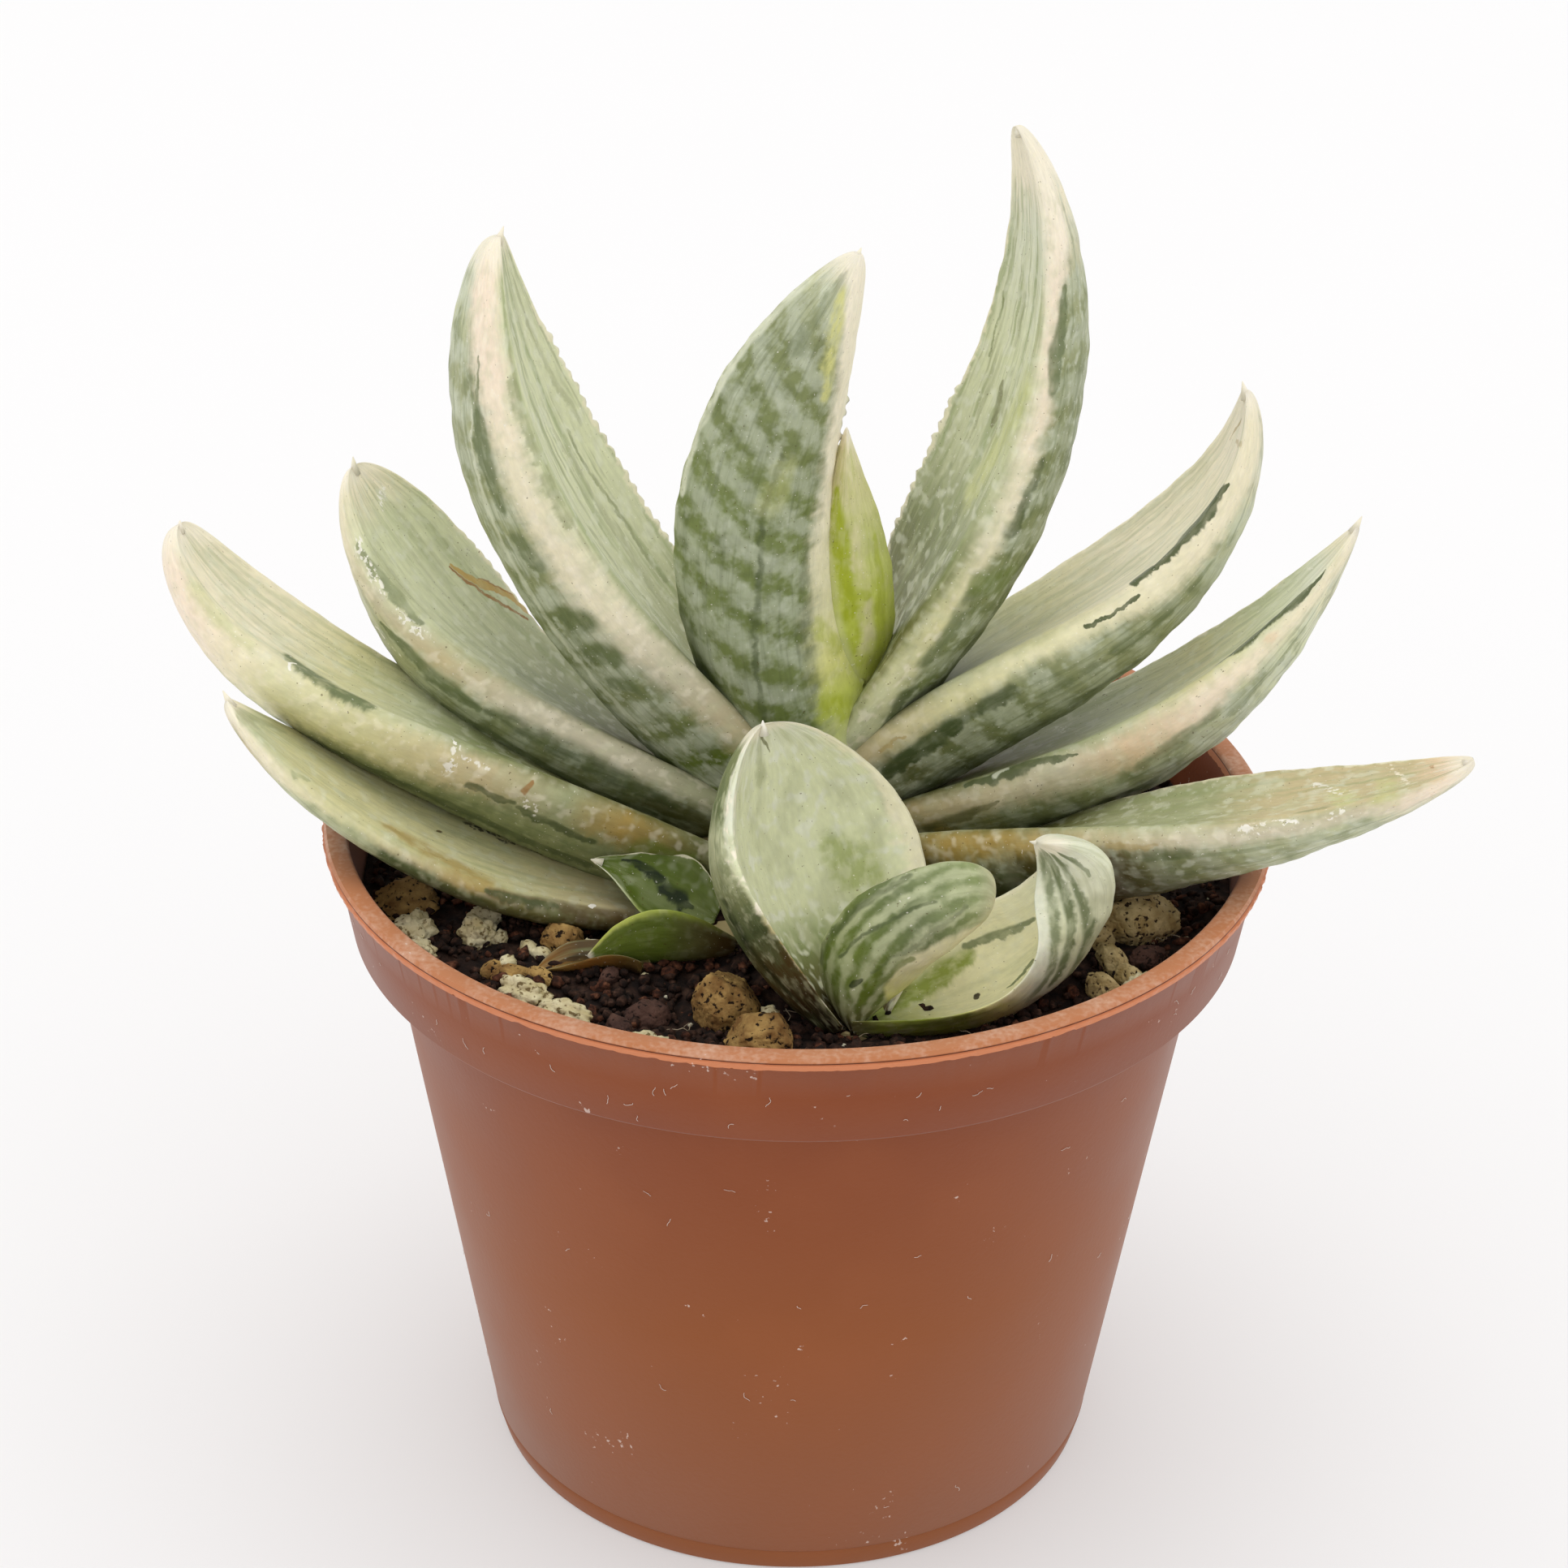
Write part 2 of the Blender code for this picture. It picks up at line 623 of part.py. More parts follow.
def build_leaves():
    """Make every leaf, inner ones first, and return their cutters."""
    cutters = []
    for leaf in LEAVES:
        made = new_object(leaf.name, leaf_bmesh(leaf), leaf.finish)
        cutter = clearance_copy(made)
        cut_clear(made, cutters)
        cutters.append(cutter)
    return cutters


def build_stems(leaf_cutters):
    """Make the short stems, hollowed round the leaf roots, and return their cutters."""
    cutters = []
    for stem in STEMS:
        made = new_object(stem.name, turned(stem.outline, stem.sides, stem.centre), STEM)
        cutters.append(clearance_copy(made))
        cut_clear(made, leaf_cutters)
    return cutters


def main():
    """Build the whole model."""
    clear_scene()
    build_pot()
    leaf_cutters = build_leaves()
    stem_cutters = build_stems(leaf_cutters)
    build_soil(leaf_cutters + stem_cutters)
    for cutter in leaf_cutters + stem_cutters:
        bpy.data.objects.remove(cutter, do_unlink=True)


main()
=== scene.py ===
"""Looks of a potted gasteria: variegated leaves, a nursery pot, peat and grit, and a studio.

Sizes are in millimetres unless a name says otherwise, and MM turns them to metres. +Z is up, the
centre of the pot's underside is the origin, and the plant's front is -Y.
"""

import logging
import math
import random
from dataclasses import dataclass, field
from enum import Enum

import bmesh
import bpy
import numpy as np
from mathutils import Matrix, Vector, noise

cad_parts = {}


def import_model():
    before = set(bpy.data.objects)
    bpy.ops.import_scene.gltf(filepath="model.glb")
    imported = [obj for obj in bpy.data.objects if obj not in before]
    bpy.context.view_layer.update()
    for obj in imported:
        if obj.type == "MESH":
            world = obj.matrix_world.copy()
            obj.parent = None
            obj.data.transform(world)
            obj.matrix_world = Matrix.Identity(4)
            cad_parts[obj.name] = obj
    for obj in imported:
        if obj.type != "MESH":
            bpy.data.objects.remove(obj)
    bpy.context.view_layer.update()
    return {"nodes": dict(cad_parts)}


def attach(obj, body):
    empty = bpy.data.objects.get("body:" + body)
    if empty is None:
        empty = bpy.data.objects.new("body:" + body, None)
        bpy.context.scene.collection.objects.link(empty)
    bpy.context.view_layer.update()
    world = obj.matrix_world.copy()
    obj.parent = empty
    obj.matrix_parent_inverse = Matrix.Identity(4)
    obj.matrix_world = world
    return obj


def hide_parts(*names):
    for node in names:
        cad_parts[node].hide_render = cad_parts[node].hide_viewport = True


LOG = logging.getLogger("potted_gasteria")
MM = 0.001
BODY = "root"
PLACE_RANGE = 16.0

Socket = bpy.types.NodeSocket
Tree = bpy.types.NodeTree


def linear(colour: str) -> tuple[float, float, float, float]:
    """Turn an sRGB hex colour to linear light.

    Args:
        colour: Six hex digits after a hash sign.

    Returns:
        Red, green, blue and a full alpha.
    """
    parts = [int(colour[start : start + 2], 16) / 255.0 for start in (1, 3, 5)]
    bent = [part / 12.92 if part <= 0.04045 else ((part + 0.055) / 1.055) ** 2.4 for part in parts]
    return bent[0], bent[1], bent[2], 1.0


def add(tree: Tree, kind: str, inputs: dict | None = None, **settings: object) -> bpy.types.Node:
    """Add one node to a tree.

    Args:
        tree: The node tree that gets it.
        kind: The node's type name.
        inputs: What each input takes: a socket to link, or a plain value.
        **settings: The node's own properties.

    Returns:
        The new node.
    """
    made = tree.nodes.new(kind)
    for name, value in settings.items():
        setattr(made, name, value)
    for key, value in (inputs or {}).items():
        if isinstance(value, Socket):
            tree.links.new(value, made.inputs[key])
        else:
            made.inputs[key].default_value = value
    return made


def new_material(name: str) -> tuple[bpy.types.Material, Tree, bpy.types.Node]:
    """Make a material with a Principled shader.

    Args:
        name: The material's name.

    Returns:
        The material, its node tree and its shader node.
    """
    made = bpy.data.materials.new(name)
    made.use_nodes = True
    return made, made.node_tree, made.node_tree.nodes["Principled BSDF"]


def new_piece(name: str, bm: bmesh.types.BMesh, skin: bpy.types.Material) -> bpy.types.Object:
    """Put a bmesh into the scene as a smooth object with one material.

    Args:
        name: The object's name.
        bm: The shape, in metres. It is freed.
        skin: The material.

    Returns:
        The new object.
    """
    mesh = bpy.data.meshes.new(name)
    bm.to_mesh(mesh)
    bm.free()
    mesh.shade_smooth()
    mesh.materials.append(skin)
    made = bpy.data.objects.new(name, mesh)
    bpy.context.scene.collection.objects.link(made)
    return made


def bernstein(values: tuple, share: np.ndarray) -> np.ndarray:
    """Read the smooth curve through a tuple of control values.

    Args:
        values: Control values from root to tip.
        share: Shares of the way, 0 to 1.

    Returns:
        The curve's values there.
    """
    degree = len(values) - 1
    total = np.zeros_like(share)
    for k, value in enumerate(values):
        total += math.comb(degree, k) * share**k * (1.0 - share) ** (degree - k) * value
    return total


class Tint(Enum):
    """Colours of gasteria flesh and of what lies on it, as the eye sees them in white light."""

    IVORY = "#f5ecd6"
    CREAM = "#ebe2c4"
    PINK_CREAM = "#f3e2cb"
    PEACH = "#e2c8a6"
    BUTTER = "#e4dfb6"
    STRAW = "#d2cd9c"
    SAND = "#c6b78e"
    GREY_CREAM = "#cbc3a8"
    PALE_GREEN = "#d5d8b1"
    FROST = "#dcdec6"
    SAGE = "#c4c7a1"
    DULL_SAGE = "#a2a67d"
    MOSS = "#838a5d"
    OLIVE = "#6b6a3c"
    YELLOW_GREEN = "#c3c684"
    LEMON = "#d9d78c"
    LIME = "#c5cd64"
    BRIGHT_GREEN = "#a4af2a"
    LEAF_GREEN = "#64742a"
    FERN = "#87953c"
    GRASS = "#55661c"
    HERB = "#75814a"
    MIST = "#ccd1bb"
    JADE = "#8e9b66"
    DEEP_GREEN = "#69744c"
    DARK_GREEN = "#4d5834"
    INK_GREEN = "#1c290c"
    STAIN = "#a98f4e"
    BROWN = "#54401e"
    DIRT = "#2a1c0d"
    SCAR = "#c0a25e"
    RUST = "#9a6a30"
    CRUST = "#f4f0e4"


class Build(Enum):
    """Cross-sections: share of the half-width to the front margin, share of the depth upwards."""

    RANKED = (
        (-1.0, -0.03),
        (-0.5, -0.05),
        (0.0, -0.06),
        (0.5, -0.03),
        (0.86, 0.0),
        (1.0, -0.22),
        (0.9, -0.52),
        (0.5, -0.86),
        (0.05, -1.0),
        (-0.45, -0.82),
        (-0.85, -0.35),
    )
    SHEATHING = (
        (-1.0, 0.0),
        (-0.5, -0.1),
        (0.0, -0.14),
        (0.5, -0.1),
        (1.0, 0.0),
        (0.9, -0.42),
        (0.5, -0.85),
        (0.0, -1.0),
        (-0.5, -0.85),
        (-0.9, -0.42),
    )

    def outline(self, places: np.ndarray) -> np.ndarray:
        """Read the rounded section at places counted in section points.

        Args:
            places: Places round the section, where 0 is the rear margin.

        Returns:
            One pair of shares for each place.
        """
        points = np.array(self.value)
        count = len(points)
        start = np.floor(places).astype(int)
        part = (places - start)[:, None]
        before, low, high, after = (points[(start + step) % count] for step in (-1, 0, 1, 2))
        straight = (high - before) * part
        bend = (2.0 * before - 5.0 * low + 4.0 * high - after) * part**2
        twist = (3.0 * low - before - 3.0 * high + after) * part**3
        return 0.5 * (2.0 * low + straight + bend + twist)


@dataclass(frozen=True)
class Mark:
    """One streak, patch or scar, through points of (share of the length, place, half width in mm)."""

    points: tuple
    tint: Tint
    strength: float = 0.8
    soft: float = 0.7
    ragged: float = 1.2
    crumbly: bool = False


@dataclass(frozen=True)
class Teeth:
    """A row of cartilage teeth along one place of the section."""

    place: float
    start: float
    end: float
    height: float = 0.55
    spacing: float = 1.35


@dataclass(frozen=True)
class Skin:
    """Colours of one leaf.

    The upper face, the blunt front band and the back each run through stops of (share of the
    length, tint). The band's two edges run through stops of (share, place round the section).
    """

    flesh: tuple
    back: tuple
    band: tuple
    band_top: tuple = ((0.0, 4.0), (1.0, 4.4))
    band_foot: tuple = ((0.0, 5.4), (1.0, 5.6))
    soft: float = 0.6
    feather: float = 0.7
    veins: float = 0.4
    clouds: float = 0.4
    mottle: float = 0.5
    dark: Tint = Tint.DEEP_GREEN
    pale: Tint = Tint.SAGE
    rungs: float = 0.0
    rung_spacing: float = 5.2
    rung_slant: float = 0.54
    # Painted shade: how much olive the flesh takes on towards the root, for the dim green light deep between the leaf
    # bases.
    shade: float = 0.3
    rim: float = 0.3
    tip: float = 0.95
    marks: tuple = ()


@dataclass(frozen=True)
class Leaf:
    """One leaf: the form that its CAD node has, and its skin."""

    name: str
    root: tuple
    heading: tuple
    rise: tuple
    length: float
    half_width: tuple
    depth: tuple
    roll: tuple
    cup: tuple
    tip_from: float
    slot: str
    skin: Skin
    build: Build = Build.RANKED
    front: int = 1
    teeth: tuple = ()
    point: float = 1.2
    stations: int = 190
    around: int = 99

    def surface(self, share: np.ndarray, places: np.ndarray) -> np.ndarray:
        """Work out surface points.

        Args:
            share: Shares of the length, rising from 0.
            places: Places round the section.

        Returns:
            Points in millimetres, one row for each share.
        """
        heading, rise, roll = (
            np.radians(bernstein(values, share)) for values in (self.heading, self.rise, self.roll)
        )
        level = np.stack([-np.sin(heading), np.cos(heading), 0.0 * share], -1)
        flat = np.cos(rise)
        along = np.stack([flat * np.cos(heading), flat * np.sin(heading), np.sin(rise)], -1)
        upright = np.cross(along, level)
        outward = level * self.front
        across = outward * np.cos(roll)[:, None] - upright * np.sin(roll)[:, None]
        upward = upright * np.cos(roll)[:, None] + outward * np.sin(roll)[:, None]
        steps = 0.5 * (along[1:] + along[:-1]) * (self.length * np.diff(share))[:, None]
        spine = np.array(self.root) + np.concatenate([np.zeros((1, 3)), np.cumsum(steps, 0)])
        past = np.clip((share - self.tip_from) / (1.0 - self.tip_from), 0.0, 1.0)
        closure = np.sqrt(np.maximum(0.0, 1.0 - past**2))
        half_width = bernstein(self.half_width, share) * closure
        depth = bernstein(self.depth, share) * closure**0.7
        lift = bernstein(self.cup, share) * half_width
        wide, deep = self.build.outline(places).T
        side = half_width[:, None] * wide
        rise_by = depth[:, None] * deep + lift[:, None] * wide**2
        return spine[:, None] + across[:, None] * side[..., None] + upward[:, None] * rise_by[..., None]

    def spread(self, places: np.ndarray) -> np.ndarray:
        """Return the arc length round the middle section, in millimetres, at each place."""
        fine = np.linspace(0.0, len(self.build.value), 400)
        ring = self.surface(np.linspace(0.0, 0.5, 30), fine)[-1]
        arc = np.concatenate([[0.0], np.cumsum(np.linalg.norm(np.diff(ring, axis=0), axis=1))])
        return np.interp(places, fine, arc)

    def flat_place(self, share: float, place: float) -> tuple[float, float, float]:
        """Return where a spot lies on the unrolled skin: across and along, in millimetres."""
        return float(self.spread(np.array([place]))[0]), share * self.length, 0.0

    def with_teeth(self, points: np.ndarray, share: np.ndarray, places: np.ndarray) -> np.ndarray:
        """Push the rows of teeth outwards.

        Args:
            points: Surface points.
            share: Their shares of the length.
            places: Their places round the section.

        Returns:
            The points with the teeth raised.
        """
        count = len(self.build.value)
        centre = points.mean(axis=1, keepdims=True)
        outward = points - centre
        outward /= np.maximum(np.linalg.norm(outward, axis=2, keepdims=True), 1e-6)
        raised = points.copy()
        for row in self.teeth:
            beat = np.abs(np.sin(np.pi * share * self.length / row.spacing)) ** 0.8
            uneven = 0.75 + 0.5 * np.sin(share * self.length * 1.7 + row.place) ** 2
            inside = np.clip((share - row.start) / 0.04, 0.0, 1.0)
            inside *= np.clip((row.end - share) / 0.04, 0.0, 1.0)
            gap = (places - row.place + count / 2.0) % count - count / 2.0
            close = np.exp(-((gap / 0.13) ** 2))
            raised += outward * (row.height * (beat * uneven * inside)[:, None] * close)[..., None]
        return raised

    def uneven(self, points: np.ndarray, share: np.ndarray) -> np.ndarray:
        """Return the points with the slight swells that living flesh has, but for the tip."""
        away = points - points.mean(axis=1, keepdims=True)
        away /= np.maximum(np.linalg.norm(away, axis=2, keepdims=True), 1e-6)
        x, y, z = (points[..., axis] for axis in range(3))
        broad = np.sin(0.55 * x + 0.8 * z) * np.sin(0.7 * y - 0.4 * z + 1.3)
        close = np.sin(1.9 * x - 1.1 * y) * np.sin(2.3 * z + 0.9 * x)
        calm = np.clip((1.0 - share) / 0.15 - 0.2, 0.0, 1.0)[:, None]
        return points + away * (calm * (0.1 * broad + 0.04 * close))[..., None]

    def mesh(self) -> bmesh.types.BMesh:
        """Roll a grid into the leaf and give it two maps.

        Returns:
            The closed leaf, with the map skin (place, share) and the map skin_mm (millimetres).
        """
        share = 1.0 - (1.0 - np.linspace(0.0, 1.0, self.stations)) ** 1.25
        places = np.linspace(0.0, len(self.build.value), self.around + 1)
        points = self.uneven(self.with_teeth(self.surface(share, places), share, places), share)
        flat = bpy.data.meshes.new("unrolled")
        bm = bmesh.new()
        bmesh.ops.create_grid(bm, x_segments=self.around, y_segments=self.stations - 1, size=1.0)
        bm.to_mesh(flat)
        bm.clear()
        grid = np.empty(len(flat.vertices) * 3)
        flat.vertices.foreach_get("co", grid)
        grid = (grid.reshape(-1, 3) + 1.0) / 2.0
        column = np.rint(grid[:, 0] * self.around).astype(int)
        row = np.rint(grid[:, 1] * (self.stations - 1)).astype(int)
        flat.vertices.foreach_set("co", (points[row, column] * MM).ravel())
        corner = np.empty(len(flat.loops), dtype=int)
        flat.loops.foreach_get("vertex_index", corner)
        wide = self.spread(places)
        maps = {
            "skin": np.stack([places[column], share[row]], -1),
            "skin_mm": np.stack([wide[column], share[row] * self.length], -1),
        }
        for name, values in maps.items():
            flat.uv_layers.new(name=name).data.foreach_set("uv", values[corner].ravel())
        bm.from_mesh(flat)
        bpy.data.meshes.remove(flat)
        bmesh.ops.remove_doubles(bm, verts=bm.verts, dist=1e-7)
        bmesh.ops.holes_fill(bm, edges=[edge for edge in bm.edges if edge.is_boundary], sides=0)
        bmesh.ops.recalc_face_normals(bm, faces=bm.faces)
        if self.point > 0.0:
            self.add_point(bm, points)
        return bm

    def add_point(self, bm: bmesh.types.BMesh, points: np.ndarray) -> None:
        """Add the hard little point at the leaf's tip.

        Args:
            bm: The leaf's bmesh, which gets the cone.
            points: The leaf's surface points.
        """
        tip = Vector(points[-1, 0])
        behind = Vector(points[-12].mean(axis=0))
        aim = (tip - behind).normalized()
        turn = Vector((0.0, 0.0, 1.0)).rotation_difference(aim).to_matrix().to_4x4()
        shift = Matrix.Translation((tip + aim * (self.point * 0.5 - 0.65)) * MM)
        made = bmesh.ops.create_cone(
            bm, cap_ends=True, segments=12, radius1=0.5 * MM, radius2=0.05 * MM,
            depth=(self.point + 0.5) * MM, matrix=shift @ turn,
        )
        skin = bm.loops.layers.uv["skin"]
        skin_mm = bm.loops.layers.uv["skin_mm"]
        for vert in made["verts"]:
            for corner in vert.link_loops:
                corner[skin].uv = (1.0, 1.0)
                corner[skin_mm].uv = (1.0, self.length)


class SkinPainter:
    """Builds the material of a leaf: waxy succulent skin over watery flesh.

    The real skin is smooth and close to matt, with chlorophyll in soft crosswise strokes. To the
    eye that gives a broad dull sheen, feathered edges and cloudy pale flesh that glows a little.
    """

    def __init__(self, leaf: Leaf, seed: float) -> None:
        """Start a material for a leaf, with its own place in the noise."""
        self.leaf = leaf
        self.skin = leaf.skin
        self.seed = seed
        self.material, self.tree, self.shader = new_material("waxy_skin_" + leaf.name)
        self.colour: Socket | None = None

    def grains(self, across: float, along: float, layer: int, detail: float = 2.0) -> Socket:
        """Lay noise on the unrolled skin, with grains of a real size in millimetres."""
        placed = add(
            self.tree, "ShaderNodeMapping",
            {0: self.flat, 1: (0.0, 0.0, self.seed + layer * 3.7), 3: (1.0 / across, 1.0 / along, 1.0)},
        )
        made = add(
            self.tree, "ShaderNodeTexNoise", {"Vector": placed.outputs[0], "Detail": detail, "Scale": 1.0}
        )
        return made.outputs["Fac"]

    def coat(
        self, value: Socket, low: float, high: float, tint: Tint | Socket, most: Socket | float = 1.0
    ) -> None:
        """Lay a colour over what is there, more of it as a value goes from low to high.

        Args:
            value: What decides where the colour lies.
            low: The value at which it starts.
            high: The value at which it is at its fullest, which may be below low.
            tint: The colour.
            most: The most of it, 0 to 1, or another mask.
        """
        eased = add(
            self.tree, "ShaderNodeMapRange", {0: value, 1: low, 2: high, 4: most},
            interpolation_type="SMOOTHSTEP",
        )
        over = linear(tint.value) if isinstance(tint, Tint) else tint
        mixed = add(
            self.tree, "ShaderNodeMix", {0: eased.outputs[0], 6: self.colour, 7: over}, data_type="RGBA"
        )
        self.colour = mixed.outputs[2]

    def along(self, stops: tuple) -> Socket:
        """Run through stops from root to tip.

        Args:
            stops: Pairs of a share of the length and a tint, or of a share and a place.

        Returns:
            The colour, or the place divided by PLACE_RANGE.
        """
        made = add(self.tree, "ShaderNodeValToRGB", {0: self.share})
        elements = made.color_ramp.elements
        colours = [
            linear(stop.value) if isinstance(stop, Tint) else (stop / PLACE_RANGE,) * 3 + (1.0,)
            for _, stop in stops
        ]
        elements[0].position, elements[0].color = stops[0][0], colours[0]
        elements[1].position, elements[1].color = stops[-1][0], colours[-1]
        for (share, _), colour in zip(stops[1:-1], colours[1:-1]):
            elements.new(share).color = colour
        return made.outputs[0]

    def read_maps(self) -> None:
        """Read the leaf's maps and bend them a little, so that no edge runs dead straight."""
        tree, skin = self.tree, self.skin
        self.flat = add(tree, "ShaderNodeUVMap", uv_map="skin_mm").outputs[0]
        turns = add(tree, "ShaderNodeUVMap", uv_map="skin").outputs[0]
        slow = add(tree, "ShaderNodeMath", {0: self.grains(3.4, 5.0, 1), 1: 0.5}, operation="SUBTRACT").outputs[0]
        self.strokes = add(
            tree, "ShaderNodeMath", {0: self.grains(2.2, 0.9, 2, 3.0), 1: 0.5}, operation="SUBTRACT"
        ).outputs[0]
        sway = add(tree, "ShaderNodeMath", {0: slow, 1: 1.6}, operation="MULTIPLY").outputs[0]
        side = add(tree, "ShaderNodeMath", {0: self.strokes, 1: 1.0, 2: sway}, operation="MULTIPLY_ADD").outputs[0]
        moved = add(tree, "ShaderNodeCombineXYZ", {0: side, 1: sway}).outputs[0]
        self.bent = add(tree, "ShaderNodeVectorMath", {0: self.flat, 1: moved}).outputs[0]
        parts = add(tree, "ShaderNodeSeparateXYZ", {0: turns})
        self.share = add(
            tree, "ShaderNodeMath", {0: slow, 1: 0.05, 2: parts.outputs[1]}, operation="MULTIPLY_ADD"
        ).outputs[0]
        swung = add(tree, "ShaderNodeMath", {0: slow, 1: 0.5, 2: parts.outputs[0]}, operation="MULTIPLY_ADD")
        self.place = add(
            tree, "ShaderNodeMath", {0: self.strokes, 1: skin.feather, 2: swung.outputs[0]},
            operation="MULTIPLY_ADD",
        ).outputs[0]

    def beyond(self, stops: tuple) -> Socket:
        """Return how far each spot lies beyond an edge, in places round the section."""
        edge = self.along(stops)
        return add(
            self.tree, "ShaderNodeMath", {0: edge, 1: -PLACE_RANGE, 2: self.place}, operation="MULTIPLY_ADD"
        ).outputs[0]

    def lay_flesh(self) -> None:
        """Lay the upper face with its veins and clouds, the blunt band, the back, the rim and the tip."""
        skin = self.skin
        soft = skin.soft
        self.colour = self.along(skin.back)
        self.coat(self.grains(3.2, 2.2, 5, 2.0), 0.44, 0.68, skin.dark, skin.mottle)
        self.coat(self.grains(1.3, 1.2, 6, 2.0), 0.48, 0.7, skin.pale, 1.1 * skin.mottle)
        if skin.rungs > 0.0:
            self.lay_rungs()
        self.coat(self.grains(0.5, 9.0, 8, 3.0), 0.47, 0.7, skin.dark, 0.9 * skin.mottle)
        back = self.colour
        self.colour = self.along(skin.flesh)
        self.coat(self.grains(1.5, 16.0, 3, 3.0), 0.46, 0.68, Tint.JADE, skin.veins)
        self.coat(self.grains(0.6, 9.0, 17, 2.0), 0.5, 0.7, Tint.DULL_SAGE, skin.veins)
        self.coat(self.grains(1.5, 1.3, 4, 1.0), 0.5, 0.7, Tint.FROST, 1.2 * skin.clouds)
        self.coat(self.grains(2.8, 3.6, 7, 2.0), 0.48, 0.7, Tint.SAGE, skin.clouds)
        # Painted shade: the flesh turns olive towards the root, for the dim green light deep between the leaf bases.
        self.coat(self.share, 0.5, 0.22, Tint.OLIVE, skin.shade)
        flesh = self.colour
        self.colour = self.along(skin.band)
        self.coat(self.grains(2.0, 1.5, 9, 2.0), 0.46, 0.7, Tint.SAGE, 0.8 * skin.clouds)
        self.coat(self.grains(1.2, 1.1, 16, 1.0), 0.5, 0.68, Tint.IVORY, skin.clouds)
        self.coat(self.beyond(skin.band_top), soft, -soft, flesh)
        self.coat(self.beyond(skin.band_foot), -0.7 * soft, 0.7 * soft, back)
        count = float(len(self.leaf.build.value))
        self.coat(self.place, skin.rim, 0.3 * skin.rim, Tint.CREAM, 0.7)
        self.coat(self.place, count - 0.7 * skin.rim, count - 0.2 * skin.rim, Tint.CREAM, 0.7)
        self.coat(self.share, skin.tip, skin.tip + 0.04, Tint.IVORY, 0.8)

    def lay_rungs(self) -> None:
        """Lay the slanted crosswise rows of pale blotches that a young gasteria leaf has."""
        tree, skin = self.tree, self.skin
        parts = add(tree, "ShaderNodeSeparateXYZ", {0: self.bent})
        slant = add(
            tree, "ShaderNodeMath", {0: parts.outputs[0], 1: -skin.rung_slant, 2: parts.outputs[1]},
            operation="MULTIPLY_ADD",
        )
        beat = add(
            tree, "ShaderNodeMath", {0: slant.outputs[0], 1: 2.0 * math.pi / skin.rung_spacing},
            operation="MULTIPLY",
        )
        wave = add(tree, "ShaderNodeMath", {0: beat.outputs[0]}, operation="SINE")
        cloudy = add(
            tree, "ShaderNodeMath", {0: self.grains(1.4, 1.2, 10, 3.0), 1: 5.0, 2: wave.outputs[0]},
            operation="MULTIPLY_ADD",
        )
        self.coat(cloudy.outputs[0], 1.4, 3.7, skin.pale, skin.rungs)

    def lay_mark(self, mark: Mark) -> None:
        """Lay one mark, stroke by stroke."""
        tree = self.tree
        points = mark.points if len(mark.points) > 1 else mark.points * 2
        rough = add(tree, "ShaderNodeMath", {0: self.strokes, 1: mark.ragged}, operation="MULTIPLY").outputs[0]
        found = None
        for start, end in zip(points, points[1:]):
            stroke = add(
                tree, "ShaderNodeGroup",
                {
                    "Place": self.bent, "Start": self.leaf.flat_place(*start[:2]),
                    "End": self.leaf.flat_place(end[0] + 1e-4, end[1]), "Start width": start[2],
                    "End width": end[2], "Soft": mark.soft, "Rough": rough,
                },
                node_tree=streak_group(),
            ).outputs[0]
            found = stroke if found is None else add(
                tree, "ShaderNodeMath", {0: found, 1: stroke}, operation="MAXIMUM"
            ).outputs[0]
        if mark.crumbly:
            broken = add(tree, "ShaderNodeMapRange", {0: self.grains(0.5, 0.5, 14, 3.0), 1: 0.5, 2: 0.56})
            found = add(tree, "ShaderNodeMath", {0: found, 1: broken.outputs[0]}, operation="MULTIPLY").outputs[0]
        thin = add(
            tree, "ShaderNodeMapRange",
            {0: self.grains(1.0, 1.7, 18, 3.0), 1: 0.36, 2: 0.56, 3: (1.0 - 0.6 * mark.soft) * mark.strength, 4: mark.strength},
        )
        self.coat(found, 0.0, 1.0, mark.tint, thin.outputs[0])

    def finish(self) -> bpy.types.Material:
        """Join the colour, gloss and relief to the shader.

        Returns:
            The finished material.
        """
        tree = self.tree
        self.read_maps()
        self.lay_flesh()
        for mark in self.skin.marks:
            self.lay_mark(mark)
        self.coat(self.grains(0.28, 0.28, 11, 1.0), 0.72, 0.77, Tint.CRUST, 0.5)
        self.coat(self.grains(0.3, 0.3, 15, 1.0), 0.735, 0.77, Tint.BROWN, 0.6)
        grain = self.grains(0.6, 1.0, 12, 4.0)
        value = add(tree, "ShaderNodeMapRange", {0: grain, 1: 0.25, 2: 0.75, 3: 0.92, 4: 1.08})
        toned = add(tree, "ShaderNodeHueSaturation", {"Value": value.outputs[0], "Color": self.colour})
        tree.links.new(toned.outputs[0], self.shader.inputs["Base Color"])
        gloss = add(tree, "ShaderNodeMapRange", {0: grain, 1: 0.25, 2: 0.75, 3: 0.4, 4: 0.55})
        tree.links.new(gloss.outputs[0], self.shader.inputs["Roughness"])
        relief = add(
            tree, "ShaderNodeBump",
            {"Strength": 0.4, "Distance": 0.25 * MM, "Height": self.grains(0.7, 2.2, 13, 4.0)},
        )
        tree.links.new(relief.outputs[0], self.shader.inputs["Normal"])
        self.shader.inputs["IOR"].default_value = 1.3
        self.shader.inputs["Subsurface Weight"].default_value = 0.15
        self.shader.inputs["Subsurface Radius"].default_value = (1.0, 0.9, 0.5)
        self.shader.inputs["Subsurface Scale"].default_value = 1.2 * MM
        return self.material


